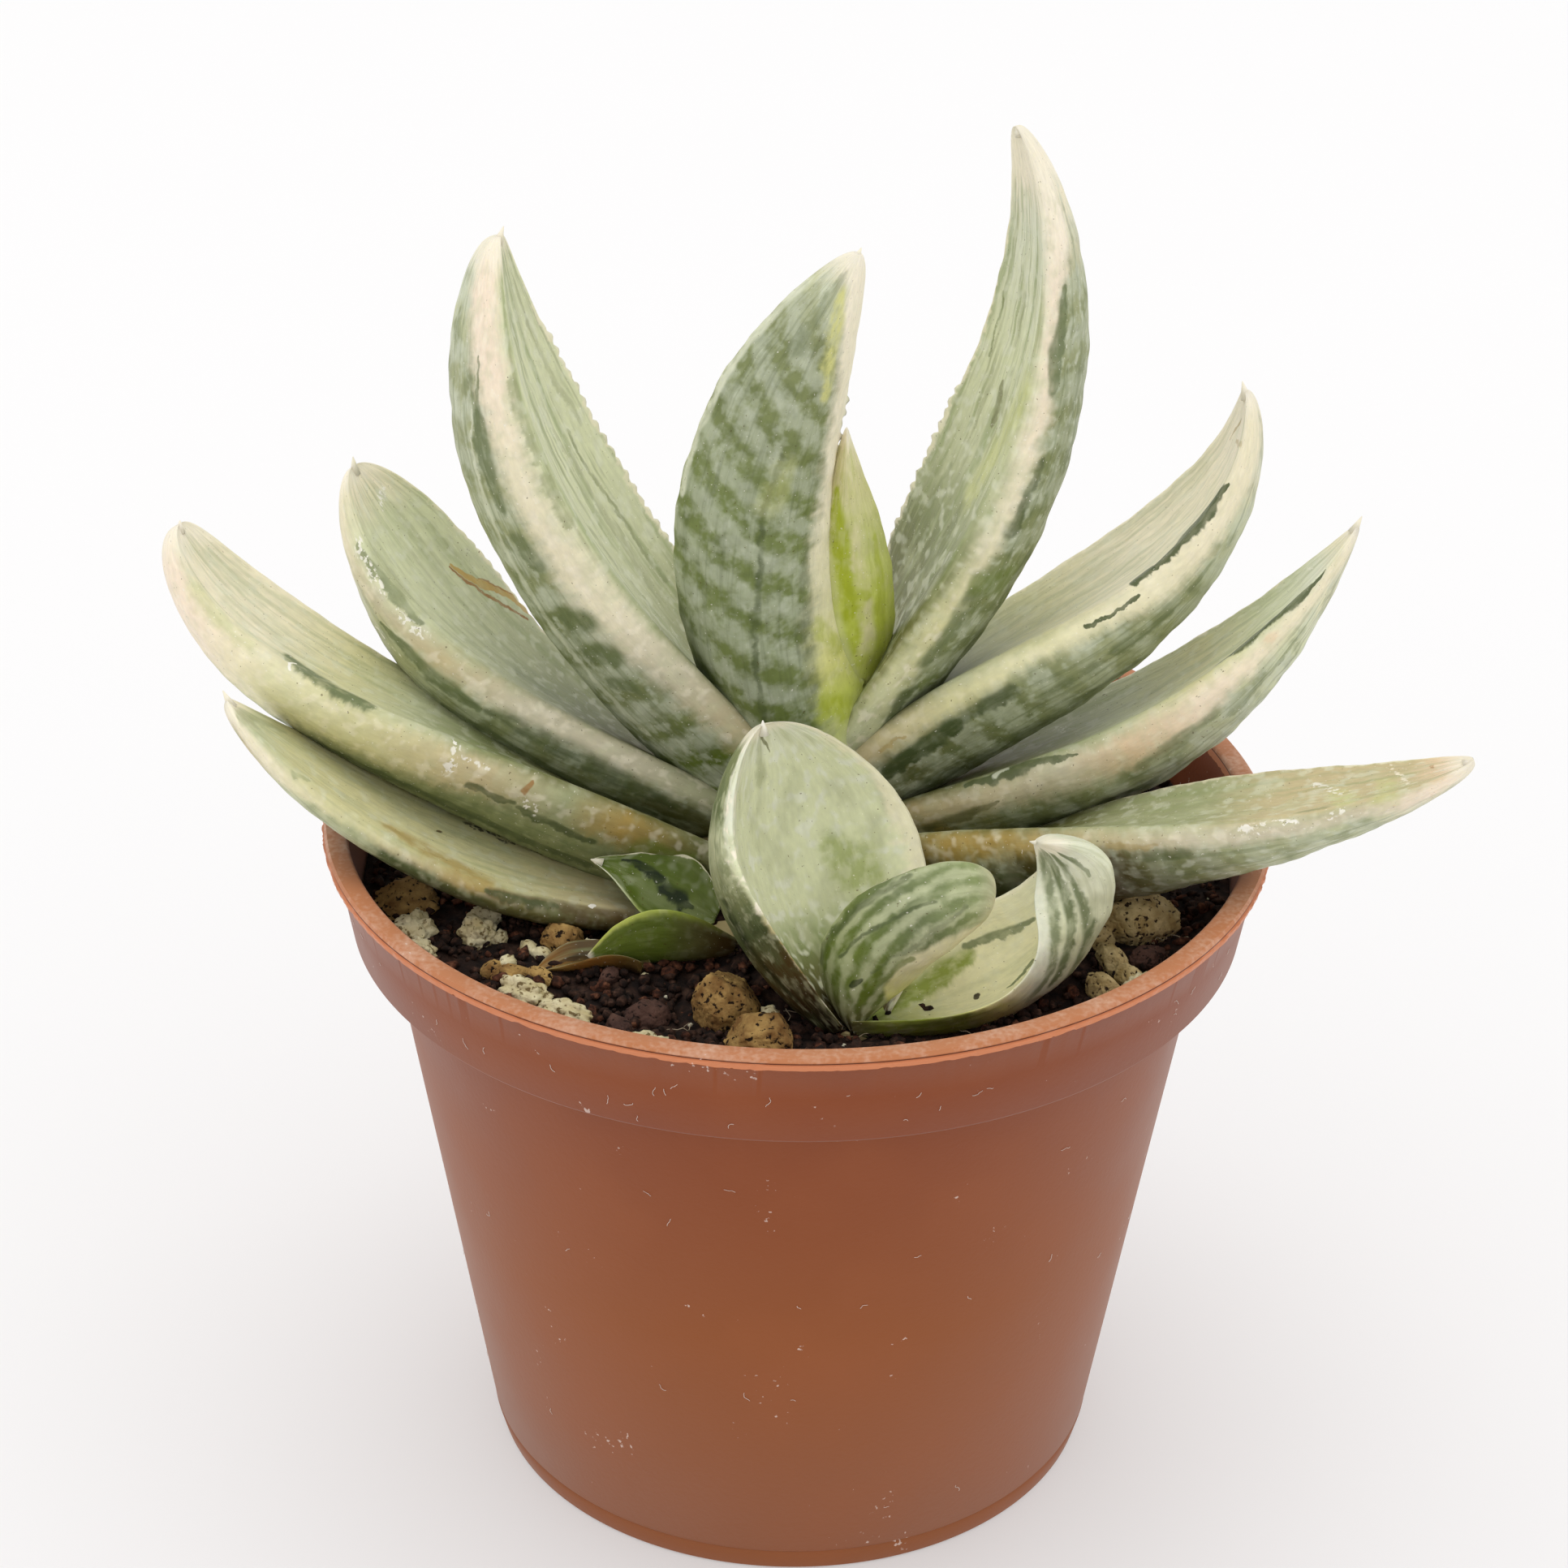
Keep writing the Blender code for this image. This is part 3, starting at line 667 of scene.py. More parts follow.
def streak_group() -> bpy.types.NodeTree:
    """Return the node group that masks a tapering stroke between two spots, made once.

    Returns:
        The group, with the inputs Place, Start, End, Start width, End width, Soft and Rough.
    """
    found = bpy.data.node_groups.get("tapering_stroke")
    if found:
        return found
    group = bpy.data.node_groups.new("tapering_stroke", "ShaderNodeTree")
    for name in ("Place", "Start", "End"):
        group.interface.new_socket(name=name, in_out="INPUT", socket_type="NodeSocketVector")
    for name in ("Start width", "End width", "Soft", "Rough"):
        group.interface.new_socket(name=name, in_out="INPUT", socket_type="NodeSocketFloat")
    group.interface.new_socket(name="Mask", in_out="OUTPUT", socket_type="NodeSocketFloat")
    place, start, end, thin, thick, soft, rough = add(group, "NodeGroupInput").outputs[:7]
    leg = add(group, "ShaderNodeVectorMath", {0: end, 1: start}, operation="SUBTRACT").outputs[0]
    off = add(group, "ShaderNodeVectorMath", {0: place, 1: start}, operation="SUBTRACT").outputs[0]
    reach = add(group, "ShaderNodeVectorMath", {0: off, 1: leg}, operation="DOT_PRODUCT").outputs["Value"]
    whole = add(group, "ShaderNodeVectorMath", {0: leg, 1: leg}, operation="DOT_PRODUCT").outputs["Value"]
    part = add(group, "ShaderNodeMath", {0: reach, 1: whole}, operation="DIVIDE", use_clamp=True).outputs[0]
    foot = add(group, "ShaderNodeVectorMath", {0: leg, 3: part}, operation="SCALE").outputs[0]
    gap = add(group, "ShaderNodeVectorMath", {0: off, 1: foot}, operation="DISTANCE").outputs["Value"]
    width = add(group, "ShaderNodeMapRange", {0: part, 3: thin, 4: thick}).outputs[0]
    ratio = add(group, "ShaderNodeMath", {0: gap, 1: width}, operation="DIVIDE").outputs[0]
    uneven = add(group, "ShaderNodeMath", {0: ratio, 1: rough}, operation="ADD").outputs[0]
    inner = add(group, "ShaderNodeMath", {0: 1.0, 1: soft}, operation="SUBTRACT").outputs[0]
    outer = add(group, "ShaderNodeMath", {0: 1.0, 1: soft}, operation="ADD").outputs[0]
    mask = add(
        group, "ShaderNodeMapRange", {0: uneven, 1: inner, 2: outer, 3: 1.0, 4: 0.0},
        interpolation_type="SMOOTHSTEP",
    ).outputs[0]
    add(group, "NodeGroupOutput", {0: mask})
    return group


PALE = "pale_leaf"
MOTTLED = "mottled_leaf"

LEAVES = (
    Leaf(
        "leaf_young", root=(0.0, 5.0, 58.5), heading=(1, -1, -1), rise=(85, 62, 102, 89),
        length=40.5, half_width=(3.0, 6.0, 6.0, 1.0), depth=(2.75, 3.25, 2.0), roll=(71, 86, 86),
        cup=(0.3, 0.3), tip_from=0.45, slot="young_leaf", build=Build.SHEATHING, point=0.0,
        stations=120, around=80,
        skin=Skin(
            flesh=((0.3, Tint.LIME), (0.7, Tint.YELLOW_GREEN), (1.0, Tint.CREAM)),
            band=((0.3, Tint.LIME), (0.7, Tint.LIME), (1.0, Tint.STRAW)),
            back=(
                (0.35, Tint.LIME), (0.6, Tint.LIME), (0.75, Tint.YELLOW_GREEN), (0.88, Tint.STRAW),
                (1.0, Tint.CREAM),
            ),
            band_foot=((0.0, 4.3), (1.0, 4.3)), mottle=0.25, dark=Tint.BRIGHT_GREEN, pale=Tint.STRAW,
            feather=0.4, soft=0.35,
            marks=(
                Mark(((0.42, 5.6, 0.8), (0.6, 5.6, 0.7), (0.75, 5.5, 0.5)), Tint.BRIGHT_GREEN, 0.55),
                Mark(((0.5, 6.7, 0.5), (0.64, 7.0, 1.1), (0.76, 7.4, 1.4), (0.86, 8.0, 0.6)), Tint.BRIGHT_GREEN, 0.95, 0.9),
                Mark(((0.5, 6.15, 0.8), (0.54, 6.15, 0.8)), Tint.STRAW, 0.85, 0.9),
                Mark(((0.57, 6.25, 0.8), (0.6, 6.25, 0.8)), Tint.STRAW, 0.85, 0.9),
                Mark(((0.65, 6.4, 0.7), (0.78, 6.6, 0.8)), Tint.STRAW, 0.85, 0.9),
                Mark(((0.63, 6.3, 0.5), (0.635, 6.5, 0.4)), Tint.BRIGHT_GREEN, 0.8),
                Mark(((0.42, 6.5, 0.6), (0.52, 7.2, 0.8), (0.64, 7.75, 0.7), (0.82, 8.4, 0.5)), Tint.YELLOW_GREEN, 0.9, 0.7),
            ),
        ),
    ),
    Leaf(
        "leaf_centre", root=(6.5, 0.5, 59.0), heading=(-5, 2, 1), rise=(126, 112, 66, 64),
        length=61.0, half_width=(3.5, 9.0, 7.25, 3.25), depth=(3.5, 4.0, 2.25), roll=(120, 65, 80),
        cup=(0.5, 0.35), tip_from=0.72, slot=MOTTLED, build=Build.SHEATHING, point=0.8,
        teeth=(Teeth(4.0, 0.12, 0.8),),
        skin=Skin(
            flesh=((0.2, Tint.LIME), (0.5, Tint.SAGE), (0.9, Tint.PALE_GREEN)),
            band=(
                (0.15, Tint.SAGE), (0.26, Tint.LIME), (0.33, Tint.LEMON), (0.42, Tint.BUTTER),
                (0.6, Tint.IVORY), (0.8, Tint.IVORY), (0.95, Tint.IVORY),
            ),
            back=(
                (0.2, Tint.GRASS), (0.32, Tint.HERB), (0.6, Tint.HERB), (0.86, Tint.MOSS),
                (0.94, Tint.SAGE), (1.0, Tint.IVORY),
            ),
            band_top=((0.0, 3.8), (1.0, 3.8)),
            band_foot=((0.2, 5.9), (0.5, 5.75), (0.6, 5.5), (0.8, 5.7), (0.9, 6.4), (0.97, 7.2)),
            soft=0.6, rungs=0.5, rung_spacing=4.4, mottle=0.3, pale=Tint.MIST, dark=Tint.DARK_GREEN, clouds=0.15,
            marks=(
                Mark(((0.24, 5.2, 1.2), (0.27, 5.7, 1.0)), Tint.BRIGHT_GREEN, 0.75, 0.8),
                Mark(((0.34, 5.0, 0.8), (0.4, 5.6, 0.9)), Tint.BRIGHT_GREEN, 0.6, 0.8),
                Mark(((0.28, 6.0, 0.6), (0.42, 5.95, 0.9), (0.54, 5.85, 0.6)), Tint.DARK_GREEN, 0.45, 0.95),
                Mark(((0.28, 7.3, 0.3), (0.5, 7.15, 0.3), (0.7, 7.1, 0.25)), Tint.DARK_GREEN, 0.7, 0.9),
                Mark(((0.25, 9.0, 2.5), (0.42, 9.6, 1.6)), Tint.DARK_GREEN, 0.6, 0.95),
                Mark(((0.62, 7.0, 1.2), (0.68, 6.9, 1.2)), Tint.YELLOW_GREEN, 0.4, 0.8),
                Mark(((0.8, 6.2, 0.8), (0.9, 6.75, 1.2), (0.945, 7.3, 0.7)), Tint.LEMON, 0.85, 0.95),
                Mark(((0.86, 7.9, 1.2), (0.96, 7.9, 1.0)), Tint.DEEP_GREEN, 0.5, 0.8),
                Mark(((0.6, 9.55, 0.4), (0.93, 9.5, 0.8)), Tint.FROST, 0.8),
            ),
        ),
    ),
    Leaf(
        "leaf_left_4", root=(3.0, 5.5, 59.0), heading=(173, 160, 166), rise=(62, 32, 64, 86),
        length=63.0, half_width=(7.75, 11.0, 11.0, 5.75), depth=(5.75, 14.75, 4.5),
        roll=(-24, -4, -12), cup=(0.15, 0.1), tip_from=0.67, slot=PALE,
        teeth=(Teeth(0.0, 0.35, 0.84),),
        skin=Skin(
            flesh=((0.35, Tint.DULL_SAGE), (0.45, Tint.SAGE), (0.62, Tint.PALE_GREEN), (0.75, Tint.PALE_GREEN), (0.93, Tint.PALE_GREEN), (1.0, Tint.CREAM)),
            band=((0.2, Tint.SAND), (0.35, Tint.GREY_CREAM), (0.5, Tint.CREAM), (0.72, Tint.CREAM), (0.84, Tint.PINK_CREAM)),
            back=((0.22, Tint.LEAF_GREEN), (0.32, Tint.MOSS), (0.5, Tint.MOSS), (0.65, Tint.DULL_SAGE), (0.84, Tint.DULL_SAGE), (0.92, Tint.SAGE), (0.98, Tint.FROST)),
            pale=Tint.MIST, veins=0.7,
            band_top=((0.2, 3.8), (0.55, 4.4), (0.7, 4.75), (0.88, 4.75), (1.0, 4.9)),
            band_foot=((0.2, 5.2), (0.5, 5.75), (0.8, 5.95), (0.95, 6.6)),
            rungs=0.6, rung_spacing=4.2, rung_slant=0.1, marks=(
                Mark(((0.61, 4.4, 0.5), (0.68, 4.45, 0.6)), Tint.MOSS, 0.55, 0.8),
                Mark(((0.71, 4.5, 0.4), (0.82, 4.55, 0.6)), Tint.MOSS, 0.55, 0.8),
                Mark(((0.42, 5.9, 1.2), (0.43, 6.3, 1.0)), Tint.DEEP_GREEN, 0.9, 0.6),
                Mark(((0.48, 5.9, 1.3), (0.49, 6.3, 1.0)), Tint.DEEP_GREEN, 0.9, 0.6),
                Mark(((0.37, 6.1, 0.8), (0.38, 6.4, 0.8)), Tint.DEEP_GREEN, 0.8, 0.6),
                Mark(((0.58, 6.1, 1.0), (0.61, 6.25, 1.2)), Tint.DEEP_GREEN, 0.75, 0.6),
                Mark(((0.67, 6.3, 0.9), (0.73, 6.25, 1.4), (0.775, 6.2, 1.2)), Tint.DEEP_GREEN, 0.85, 0.5),
                Mark(((0.77, 6.2, 0.5), (0.86, 6.0, 0.15)), Tint.DEEP_GREEN, 0.8, 0.5),
                Mark(((0.3, 6.8, 0.4), (0.6, 6.75, 0.4), (0.72, 6.65, 0.3), (0.8, 6.4, 0.2)), Tint.FROST, 0.6),
                Mark(((0.42, 0.85, 0.3), (0.55, 0.95, 0.3), (0.68, 1.0, 0.2)), Tint.MOSS, 0.7),
                Mark(((0.42, 1.5, 0.8), (0.58, 1.4, 0.5), (0.66, 1.4, 0.5)), Tint.DULL_SAGE, 0.6, 0.8),
                Mark(((0.68, 0.6, 0.4), (0.85, 0.8, 0.5)), Tint.DULL_SAGE, 0.6, 0.8),
                Mark(((0.5, 2.5, 0.6), (0.56, 2.6, 0.5)), Tint.MOSS, 0.5, 0.8),
            ),
        ),
    ),
    Leaf(
        "leaf_right_4", root=(2.5, 9.0, 59.5), heading=(4, 18, 26), rise=(86, 43, 67, 109),
        length=67.4, half_width=(8.25, 14.5, 3.75, 4.5), depth=(2.0, 14.75, 3.0), roll=(-24, 4, 5),
        cup=(0.05, 0.1), tip_from=0.39, slot=PALE, front=-1, point=0.25,
        teeth=(Teeth(0.0, 0.3, 0.62), Teeth(4.45, 0.5, 0.68, 0.25, 1.0)),
        skin=Skin(
            flesh=((0.28, Tint.OLIVE), (0.42, Tint.MOSS), (0.54, Tint.SAGE), (0.68, Tint.PALE_GREEN), (0.85, Tint.FROST), (0.93, Tint.IVORY)),
            band=((0.15, Tint.SAGE), (0.35, Tint.STRAW), (0.5, Tint.CREAM), (0.75, Tint.PINK_CREAM), (0.9, Tint.IVORY)),
            back=((0.18, Tint.LEAF_GREEN), (0.32, Tint.MOSS), (0.48, Tint.MOSS), (0.62, Tint.MOSS), (0.8, Tint.DULL_SAGE), (0.88, Tint.CREAM)),
            band_top=((0.15, 4.2), (0.35, 4.5), (0.5, 4.75), (0.6, 4.5), (0.75, 4.5), (0.9, 4.2)),
            band_foot=((0.18, 5.9), (0.32, 5.5), (0.5, 5.4), (0.65, 5.35), (0.72, 5.0), (0.79, 5.3), (0.85, 6.2)),
            tip=0.9, clouds=0.45, pale=Tint.MIST, veins=0.7,
            rungs=0.4, rung_spacing=4.2, rung_slant=0.1, marks=(
                Mark(((0.36, 2.2, 0.5), (0.42, 2.3, 0.9), (0.47, 2.3, 0.6)), Tint.MOSS, 0.75, 0.7),
                Mark(((0.585, 2.0, 0.3), (0.62, 1.9, 0.7), (0.64, 1.8, 0.3)), Tint.OLIVE, 0.7, 0.6),
                Mark(((0.7, 1.85, 0.4), (0.76, 1.8, 0.5)), Tint.MOSS, 0.45, 0.8),
                Mark(((0.66, 0.75, 0.2), (0.75, 0.6, 0.2)), Tint.MOSS, 0.7, 0.6),
                Mark(((0.35, 0.95, 0.4), (0.5, 1.05, 0.4)), Tint.MOSS, 0.5, 0.8),
                Mark(((0.5, 2.5, 1.6), (0.6, 3.2, 2.2), (0.66, 3.6, 1.5)), Tint.YELLOW_GREEN, 0.7, 0.9),
                Mark(((0.18, 6.1, 0.7), (0.25, 5.9, 0.8)), Tint.DARK_GREEN, 0.8, 0.6),
                Mark(((0.3, 5.6, 0.8), (0.4, 5.5, 0.9)), Tint.DEEP_GREEN, 0.8, 0.7),
                Mark(((0.42, 5.5, 1.2), (0.43, 6.5, 1.2)), Tint.LEAF_GREEN, 0.75, 0.7),
                Mark(((0.49, 5.65, 0.7), (0.58, 5.6, 0.4)), Tint.DARK_GREEN, 0.7, 0.6),
                Mark(((0.67, 5.3, 0.7), (0.72, 5.25, 0.9), (0.79, 5.5, 0.5)), Tint.DEEP_GREEN, 0.85, 0.5),
                Mark(((0.25, 7.1, 1.2), (0.45, 6.9, 1.0)), Tint.DARK_GREEN, 0.7, 0.7),
            ),
        ),
    ),
    Leaf(
        "leaf_left_3", root=(-1.5, 6.5, 59.0), heading=(177, 168, 154), rise=(34, 15, 49, 53),
        length=51.0, half_width=(7.5, 9.25, 10.0, 6.0), depth=(3.5, 12.5, 5.0), roll=(-22, -24, 17),
        cup=(0.05, 0.05), tip_from=0.62, slot=PALE, teeth=(Teeth(0.0, 0.55, 0.8, 0.25),),
        skin=Skin(
            flesh=((0.3, Tint.MOSS), (0.46, Tint.DULL_SAGE), (0.6, Tint.SAGE), (0.74, Tint.PALE_GREEN), (0.88, Tint.PALE_GREEN), (0.96, Tint.CREAM)),
            band=((0.1, Tint.DULL_SAGE), (0.3, Tint.GREY_CREAM), (0.5, Tint.GREY_CREAM), (0.65, Tint.SAND), (0.8, Tint.GREY_CREAM), (0.9, Tint.CREAM)),
            back=((0.12, Tint.OLIVE), (0.3, Tint.MOSS), (0.6, Tint.DULL_SAGE), (0.75, Tint.SAGE), (0.88, Tint.CREAM)),
            band_top=((0.1, 3.4), (0.5, 3.9), (0.65, 4.3), (0.8, 4.8), (1.0, 4.9)),
            band_foot=((0.15, 5.7), (0.3, 5.3), (0.5, 5.15), (0.75, 5.4), (0.85, 6.0)),
            pale=Tint.MIST, rungs=0.45, rung_spacing=4.2, rung_slant=0.1, marks=(
                Mark(((0.13, 6.3, 1.0), (0.22, 6.1, 1.4)), Tint.OLIVE, 0.9, 0.6),
                Mark(((0.2, 5.9, 0.6), (0.3, 5.6, 1.1), (0.4, 5.45, 1.2), (0.51, 5.35, 1.0), (0.54, 5.5, 0.4)), Tint.DARK_GREEN, 0.7, 0.8),
                Mark(((0.56, 5.6, 0.5), (0.62, 5.6, 0.9), (0.7, 5.55, 0.7), (0.76, 5.7, 0.2)), Tint.DEEP_GREEN, 0.85, 0.5),
                Mark(((0.22, 6.6, 0.5), (0.4, 6.4, 0.5), (0.52, 6.25, 0.6), (0.6, 6.5, 0.4)), Tint.DEEP_GREEN, 0.85, 0.6),
                Mark(((0.72, 4.15, 0.3), (0.78, 4.2, 0.7), (0.84, 4.4, 0.6), (0.885, 4.5, 0.2)), Tint.DEEP_GREEN, 0.7, 0.5),
                Mark(((0.75, 3.7, 1.2), (0.85, 3.8, 1.2)), Tint.DULL_SAGE, 0.5, 0.9),
                Mark(((0.46, 2.4, 1.2), (0.53, 2.5, 1.0)), Tint.MOSS, 0.6, 0.8),
                Mark(((0.575, 0.05, 0.3), (0.63, 0.3, 0.5), (0.69, 0.8, 0.45), (0.745, 1.05, 0.2)), Tint.SCAR, 1.0, 0.3, 0.5),
                Mark(((0.58, 0.4, 0.15), (0.66, 0.85, 0.2), (0.745, 1.15, 0.15)), Tint.RUST, 0.9, 0.4, 0.5),
                Mark(((0.63, 0.2, 0.1), (0.7, 0.75, 0.1)), Tint.RUST, 0.7, 0.4, 0.5),
                Mark(((0.7, 4.5, 0.5), (0.76, 4.6, 0.5)), Tint.CRUST, 0.9, 0.4, 2.0, True),
                Mark(((0.8, 4.7, 0.5), (0.89, 4.4, 0.6)), Tint.CRUST, 0.9, 0.4, 2.0, True),
                Mark(((0.905, 1.9, 0.4), (0.945, 1.2, 0.5)), Tint.CRUST, 0.9, 0.4, 2.0, True),
                Mark(((0.7, 6.1, 0.3), (0.755, 6.4, 0.4)), Tint.CRUST, 0.9, 0.4, 2.0, True),
            ),
        ),
    ),
    Leaf(
        "leaf_right_3", root=(-1.0, 6.5, 58.5), heading=(9, 8, 4), rise=(60, 26, 7, 91),
        length=59.5, half_width=(7.75, 10.5, 10.0, 3.25), depth=(5.5, 13.25, 2.75),
        roll=(-22, -20, 11), cup=(0.15, 0.05), tip_from=0.54, slot=PALE, front=-1,
        skin=Skin(
            flesh=((0.28, Tint.OLIVE), (0.36, Tint.SAGE), (0.52, Tint.STRAW), (0.65, Tint.CREAM), (0.85, Tint.CREAM), (0.95, Tint.IVORY)),
            band=((0.2, Tint.SAND), (0.35, Tint.STRAW), (0.5, Tint.BUTTER), (0.8, Tint.CREAM), (0.9, Tint.CREAM)),
            back=((0.2, Tint.OLIVE), (0.4, Tint.MOSS), (0.55, Tint.DULL_SAGE), (0.7, Tint.DULL_SAGE), (0.82, Tint.SAGE), (0.9, Tint.CREAM)),
            band_top=((0.0, 4.3), (1.0, 4.3)),
            band_foot=((0.2, 5.4), (0.35, 5.3), (0.5, 5.0), (0.6, 5.1), (0.68, 5.6), (0.85, 5.9), (0.93, 6.6)),
            veins=0.3, clouds=0.2, pale=Tint.MIST,
            rungs=0.5, rung_spacing=4.2, rung_slant=0.1, marks=(
                Mark(((0.68, 3.85, 0.8), (0.7, 3.9, 0.8)), Tint.DARK_GREEN, 0.95, 0.25, 0.9),
                Mark(((0.715, 4.05, 0.5), (0.75, 3.8, 1.1), (0.78, 3.6, 1.8), (0.81, 3.75, 1.7), (0.845, 3.95, 1.2), (0.87, 4.35, 0.3)), Tint.DARK_GREEN, 0.95, 0.25, 0.9),
                Mark(((0.58, 4.7, 0.2), (0.67, 4.75, 0.2)), Tint.DARK_GREEN, 0.95, 0.3, 0.8),
                Mark(((0.21, 5.9, 1.0), (0.325, 5.75, 1.2)), Tint.DARK_GREEN, 1.0, 0.4),
                Mark(((0.355, 5.6, 0.8), (0.37, 5.6, 0.8)), Tint.DARK_GREEN, 0.6, 0.5),
                Mark(((0.39, 5.6, 0.9), (0.43, 5.55, 0.9)), Tint.DARK_GREEN, 0.8, 0.5),
                Mark(((0.47, 6.2, 0.7), (0.55, 6.1, 0.8)), Tint.DEEP_GREEN, 0.6, 0.7),
                Mark(((0.6, 6.1, 0.8), (0.68, 6.2, 0.9)), Tint.DEEP_GREEN, 0.7, 0.7),
                Mark(((0.73, 6.1, 0.6), (0.77, 6.15, 0.4)), Tint.DEEP_GREEN, 0.5, 0.7),
                Mark(((0.2, 7.2, 1.5), (0.45, 7.2, 1.5), (0.6, 7.1, 0.8)), Tint.DARK_GREEN, 0.6, 0.9),
                Mark(((0.915, 1.4, 0.15), (0.93, 1.5, 0.3), (0.95, 2.1, 0.2)), Tint.STAIN, 0.7, 0.4),
                Mark(((0.925, 2.4, 0.2), (0.925, 4.1, 0.2)), Tint.STAIN, 0.5, 0.6),
                Mark(((0.22, 5.1, 0.2), (0.26, 5.1, 0.1)), Tint.STAIN, 0.6),
            ),
        ),
    ),
    Leaf(
        "leaf_left_2", root=(-7.0, -0.5, 58.5), heading=(181, 177, 159), rise=(31, 37, 0, 60),
        length=57.3, half_width=(7.75, 8.5, 7.75, 6.0), depth=(5.75, 9.0, 5.25), roll=(-33, -12, -3),
        cup=(0.1, 0.0), tip_from=0.71, slot=PALE, point=0.65,
        skin=Skin(
            flesh=((0.28, Tint.OLIVE), (0.42, Tint.MOSS), (0.53, Tint.SAGE), (0.65, Tint.STRAW), (0.8, Tint.CREAM), (0.94, Tint.CREAM), (0.98, Tint.IVORY)),
            band=((0.08, Tint.OLIVE), (0.2, Tint.STAIN), (0.28, Tint.DULL_SAGE), (0.42, Tint.SAND), (0.6, Tint.STRAW), (0.75, Tint.BUTTER), (0.88, Tint.PINK_CREAM)),
            back=((0.1, Tint.MOSS), (0.35, Tint.MOSS), (0.6, Tint.MOSS), (0.75, Tint.DULL_SAGE), (0.88, Tint.CREAM)),
            band_top=((0.0, 4.4), (1.0, 4.4)),
            band_foot=((0.15, 6.0), (0.4, 5.95), (0.5, 6.3), (0.62, 6.4), (0.8, 6.9)),
            soft=0.6, veins=0.35, clouds=0.3, pale=Tint.DULL_SAGE,
            rungs=0.25, rung_spacing=4.2, rung_slant=0.1, marks=(
                Mark(((0.595, 3.9, 0.5), (0.615, 3.85, 1.2), (0.65, 3.8, 1.2), (0.7, 3.4, 1.3), (0.735, 3.1, 0.8)), Tint.DEEP_GREEN, 0.95, 0.6),
                Mark(((0.722, 3.25, 0.12), (0.728, 3.6, 0.15), (0.72, 4.0, 0.12)), Tint.CRUST, 1.0, 0.3, 0.5),
                Mark(((0.22, 6.25, 0.4), (0.3, 6.05, 0.5), (0.34, 6.0, 0.3)), Tint.DARK_GREEN, 0.85, 0.5),
                Mark(((0.35, 5.9, 0.3), (0.42, 5.8, 0.35)), Tint.DARK_GREEN, 0.8, 0.5),
                Mark(((0.2, 7.1, 0.7), (0.45, 6.95, 0.8), (0.7, 6.9, 0.6)), Tint.DARK_GREEN, 0.8, 0.6),
                Mark(((0.46, 4.2, 0.5), (0.455, 4.9, 0.4), (0.462, 5.6, 0.5)), Tint.CRUST, 0.9, 0.4, 2.0, True),
                Mark(((0.41, 4.8, 0.35), (0.44, 4.85, 0.3)), Tint.CRUST, 0.8, 0.4, 2.0, True),
                Mark(((0.315, 5.85, 0.5), (0.335, 5.7, 0.6)), Tint.CRUST, 1.0, 0.4, 1.0, True),
                Mark(((0.343, 4.9, 0.2), (0.347, 5.3, 0.25)), Tint.RUST, 0.8, 0.5),
                Mark(((0.08, 5.7, 1.0), (0.15, 5.8, 1.0)), Tint.LEAF_GREEN, 0.7, 0.6),
                Mark(((0.81, 3.8, 1.5), (0.9, 4.2, 1.5)), Tint.YELLOW_GREEN, 0.4, 0.9),
                Mark(((0.83, 1.2, 1.2), (0.93, 1.3, 1.0)), Tint.SAGE, 0.4, 0.9),
            ),
        ),
    ),
    Leaf(
        "leaf_right_2", root=(5.0, 7.5, 59.0), heading=(-8, -1, 10), rise=(31, 12, 42, 51),
        length=54.0, half_width=(7.0, 9.5, 8.25, 2.75), depth=(3.5, 12.75, 1.75),
        roll=(-15, -11, -9), cup=(0.1, 0.05), tip_from=0.44, slot=PALE, front=-1,
        skin=Skin(
            flesh=((0.18, Tint.OLIVE), (0.32, Tint.DULL_SAGE), (0.5, Tint.SAGE), (0.65, Tint.STRAW), (0.8, Tint.PALE_GREEN), (0.9, Tint.FROST), (0.96, Tint.CREAM)),
            band=((0.08, Tint.STAIN), (0.2, Tint.SAND), (0.4, Tint.GREY_CREAM), (0.5, Tint.PEACH), (0.65, Tint.PINK_CREAM), (0.8, Tint.CREAM), (0.95, Tint.CREAM)),
            back=((0.12, Tint.STAIN), (0.28, Tint.MOSS), (0.5, Tint.DULL_SAGE), (0.7, Tint.SAGE), (0.8, Tint.PALE_GREEN), (0.95, Tint.CREAM)),
            band_top=((0.0, 4.5), (1.0, 4.5)),
            band_foot=((0.2, 5.8), (0.4, 6.0), (0.55, 5.9), (0.7, 5.6), (0.85, 5.7), (0.93, 6.3)),
            veins=0.4, clouds=0.3, pale=Tint.MIST,
            rungs=0.4, rung_spacing=4.2, rung_slant=0.1, marks=(
                Mark(((0.705, 3.5, 1.0), (0.75, 3.4, 1.7), (0.79, 3.5, 1.5)), Tint.DARK_GREEN, 0.92, 0.3, 0.8),
                Mark(((0.79, 3.6, 1.2), (0.84, 4.0, 1.1), (0.88, 4.3, 0.5), (0.912, 4.3, 0.15)), Tint.DARK_GREEN, 0.92, 0.3, 0.8),
                Mark(((0.235, 4.1, 0.3), (0.28, 4.3, 0.5), (0.34, 4.25, 0.7), (0.385, 4.5, 0.4), (0.43, 4.7, 0.12)), Tint.DARK_GREEN, 0.85, 0.4, 0.9),
                Mark(((0.15, 6.0, 0.5), (0.22, 5.7, 0.7), (0.28, 5.5, 0.2)), Tint.OLIVE, 0.8, 0.6),
                Mark(((0.5, 6.0, 0.6), (0.58, 5.95, 0.8), (0.64, 5.9, 0.6)), Tint.DEEP_GREEN, 0.6, 0.7),
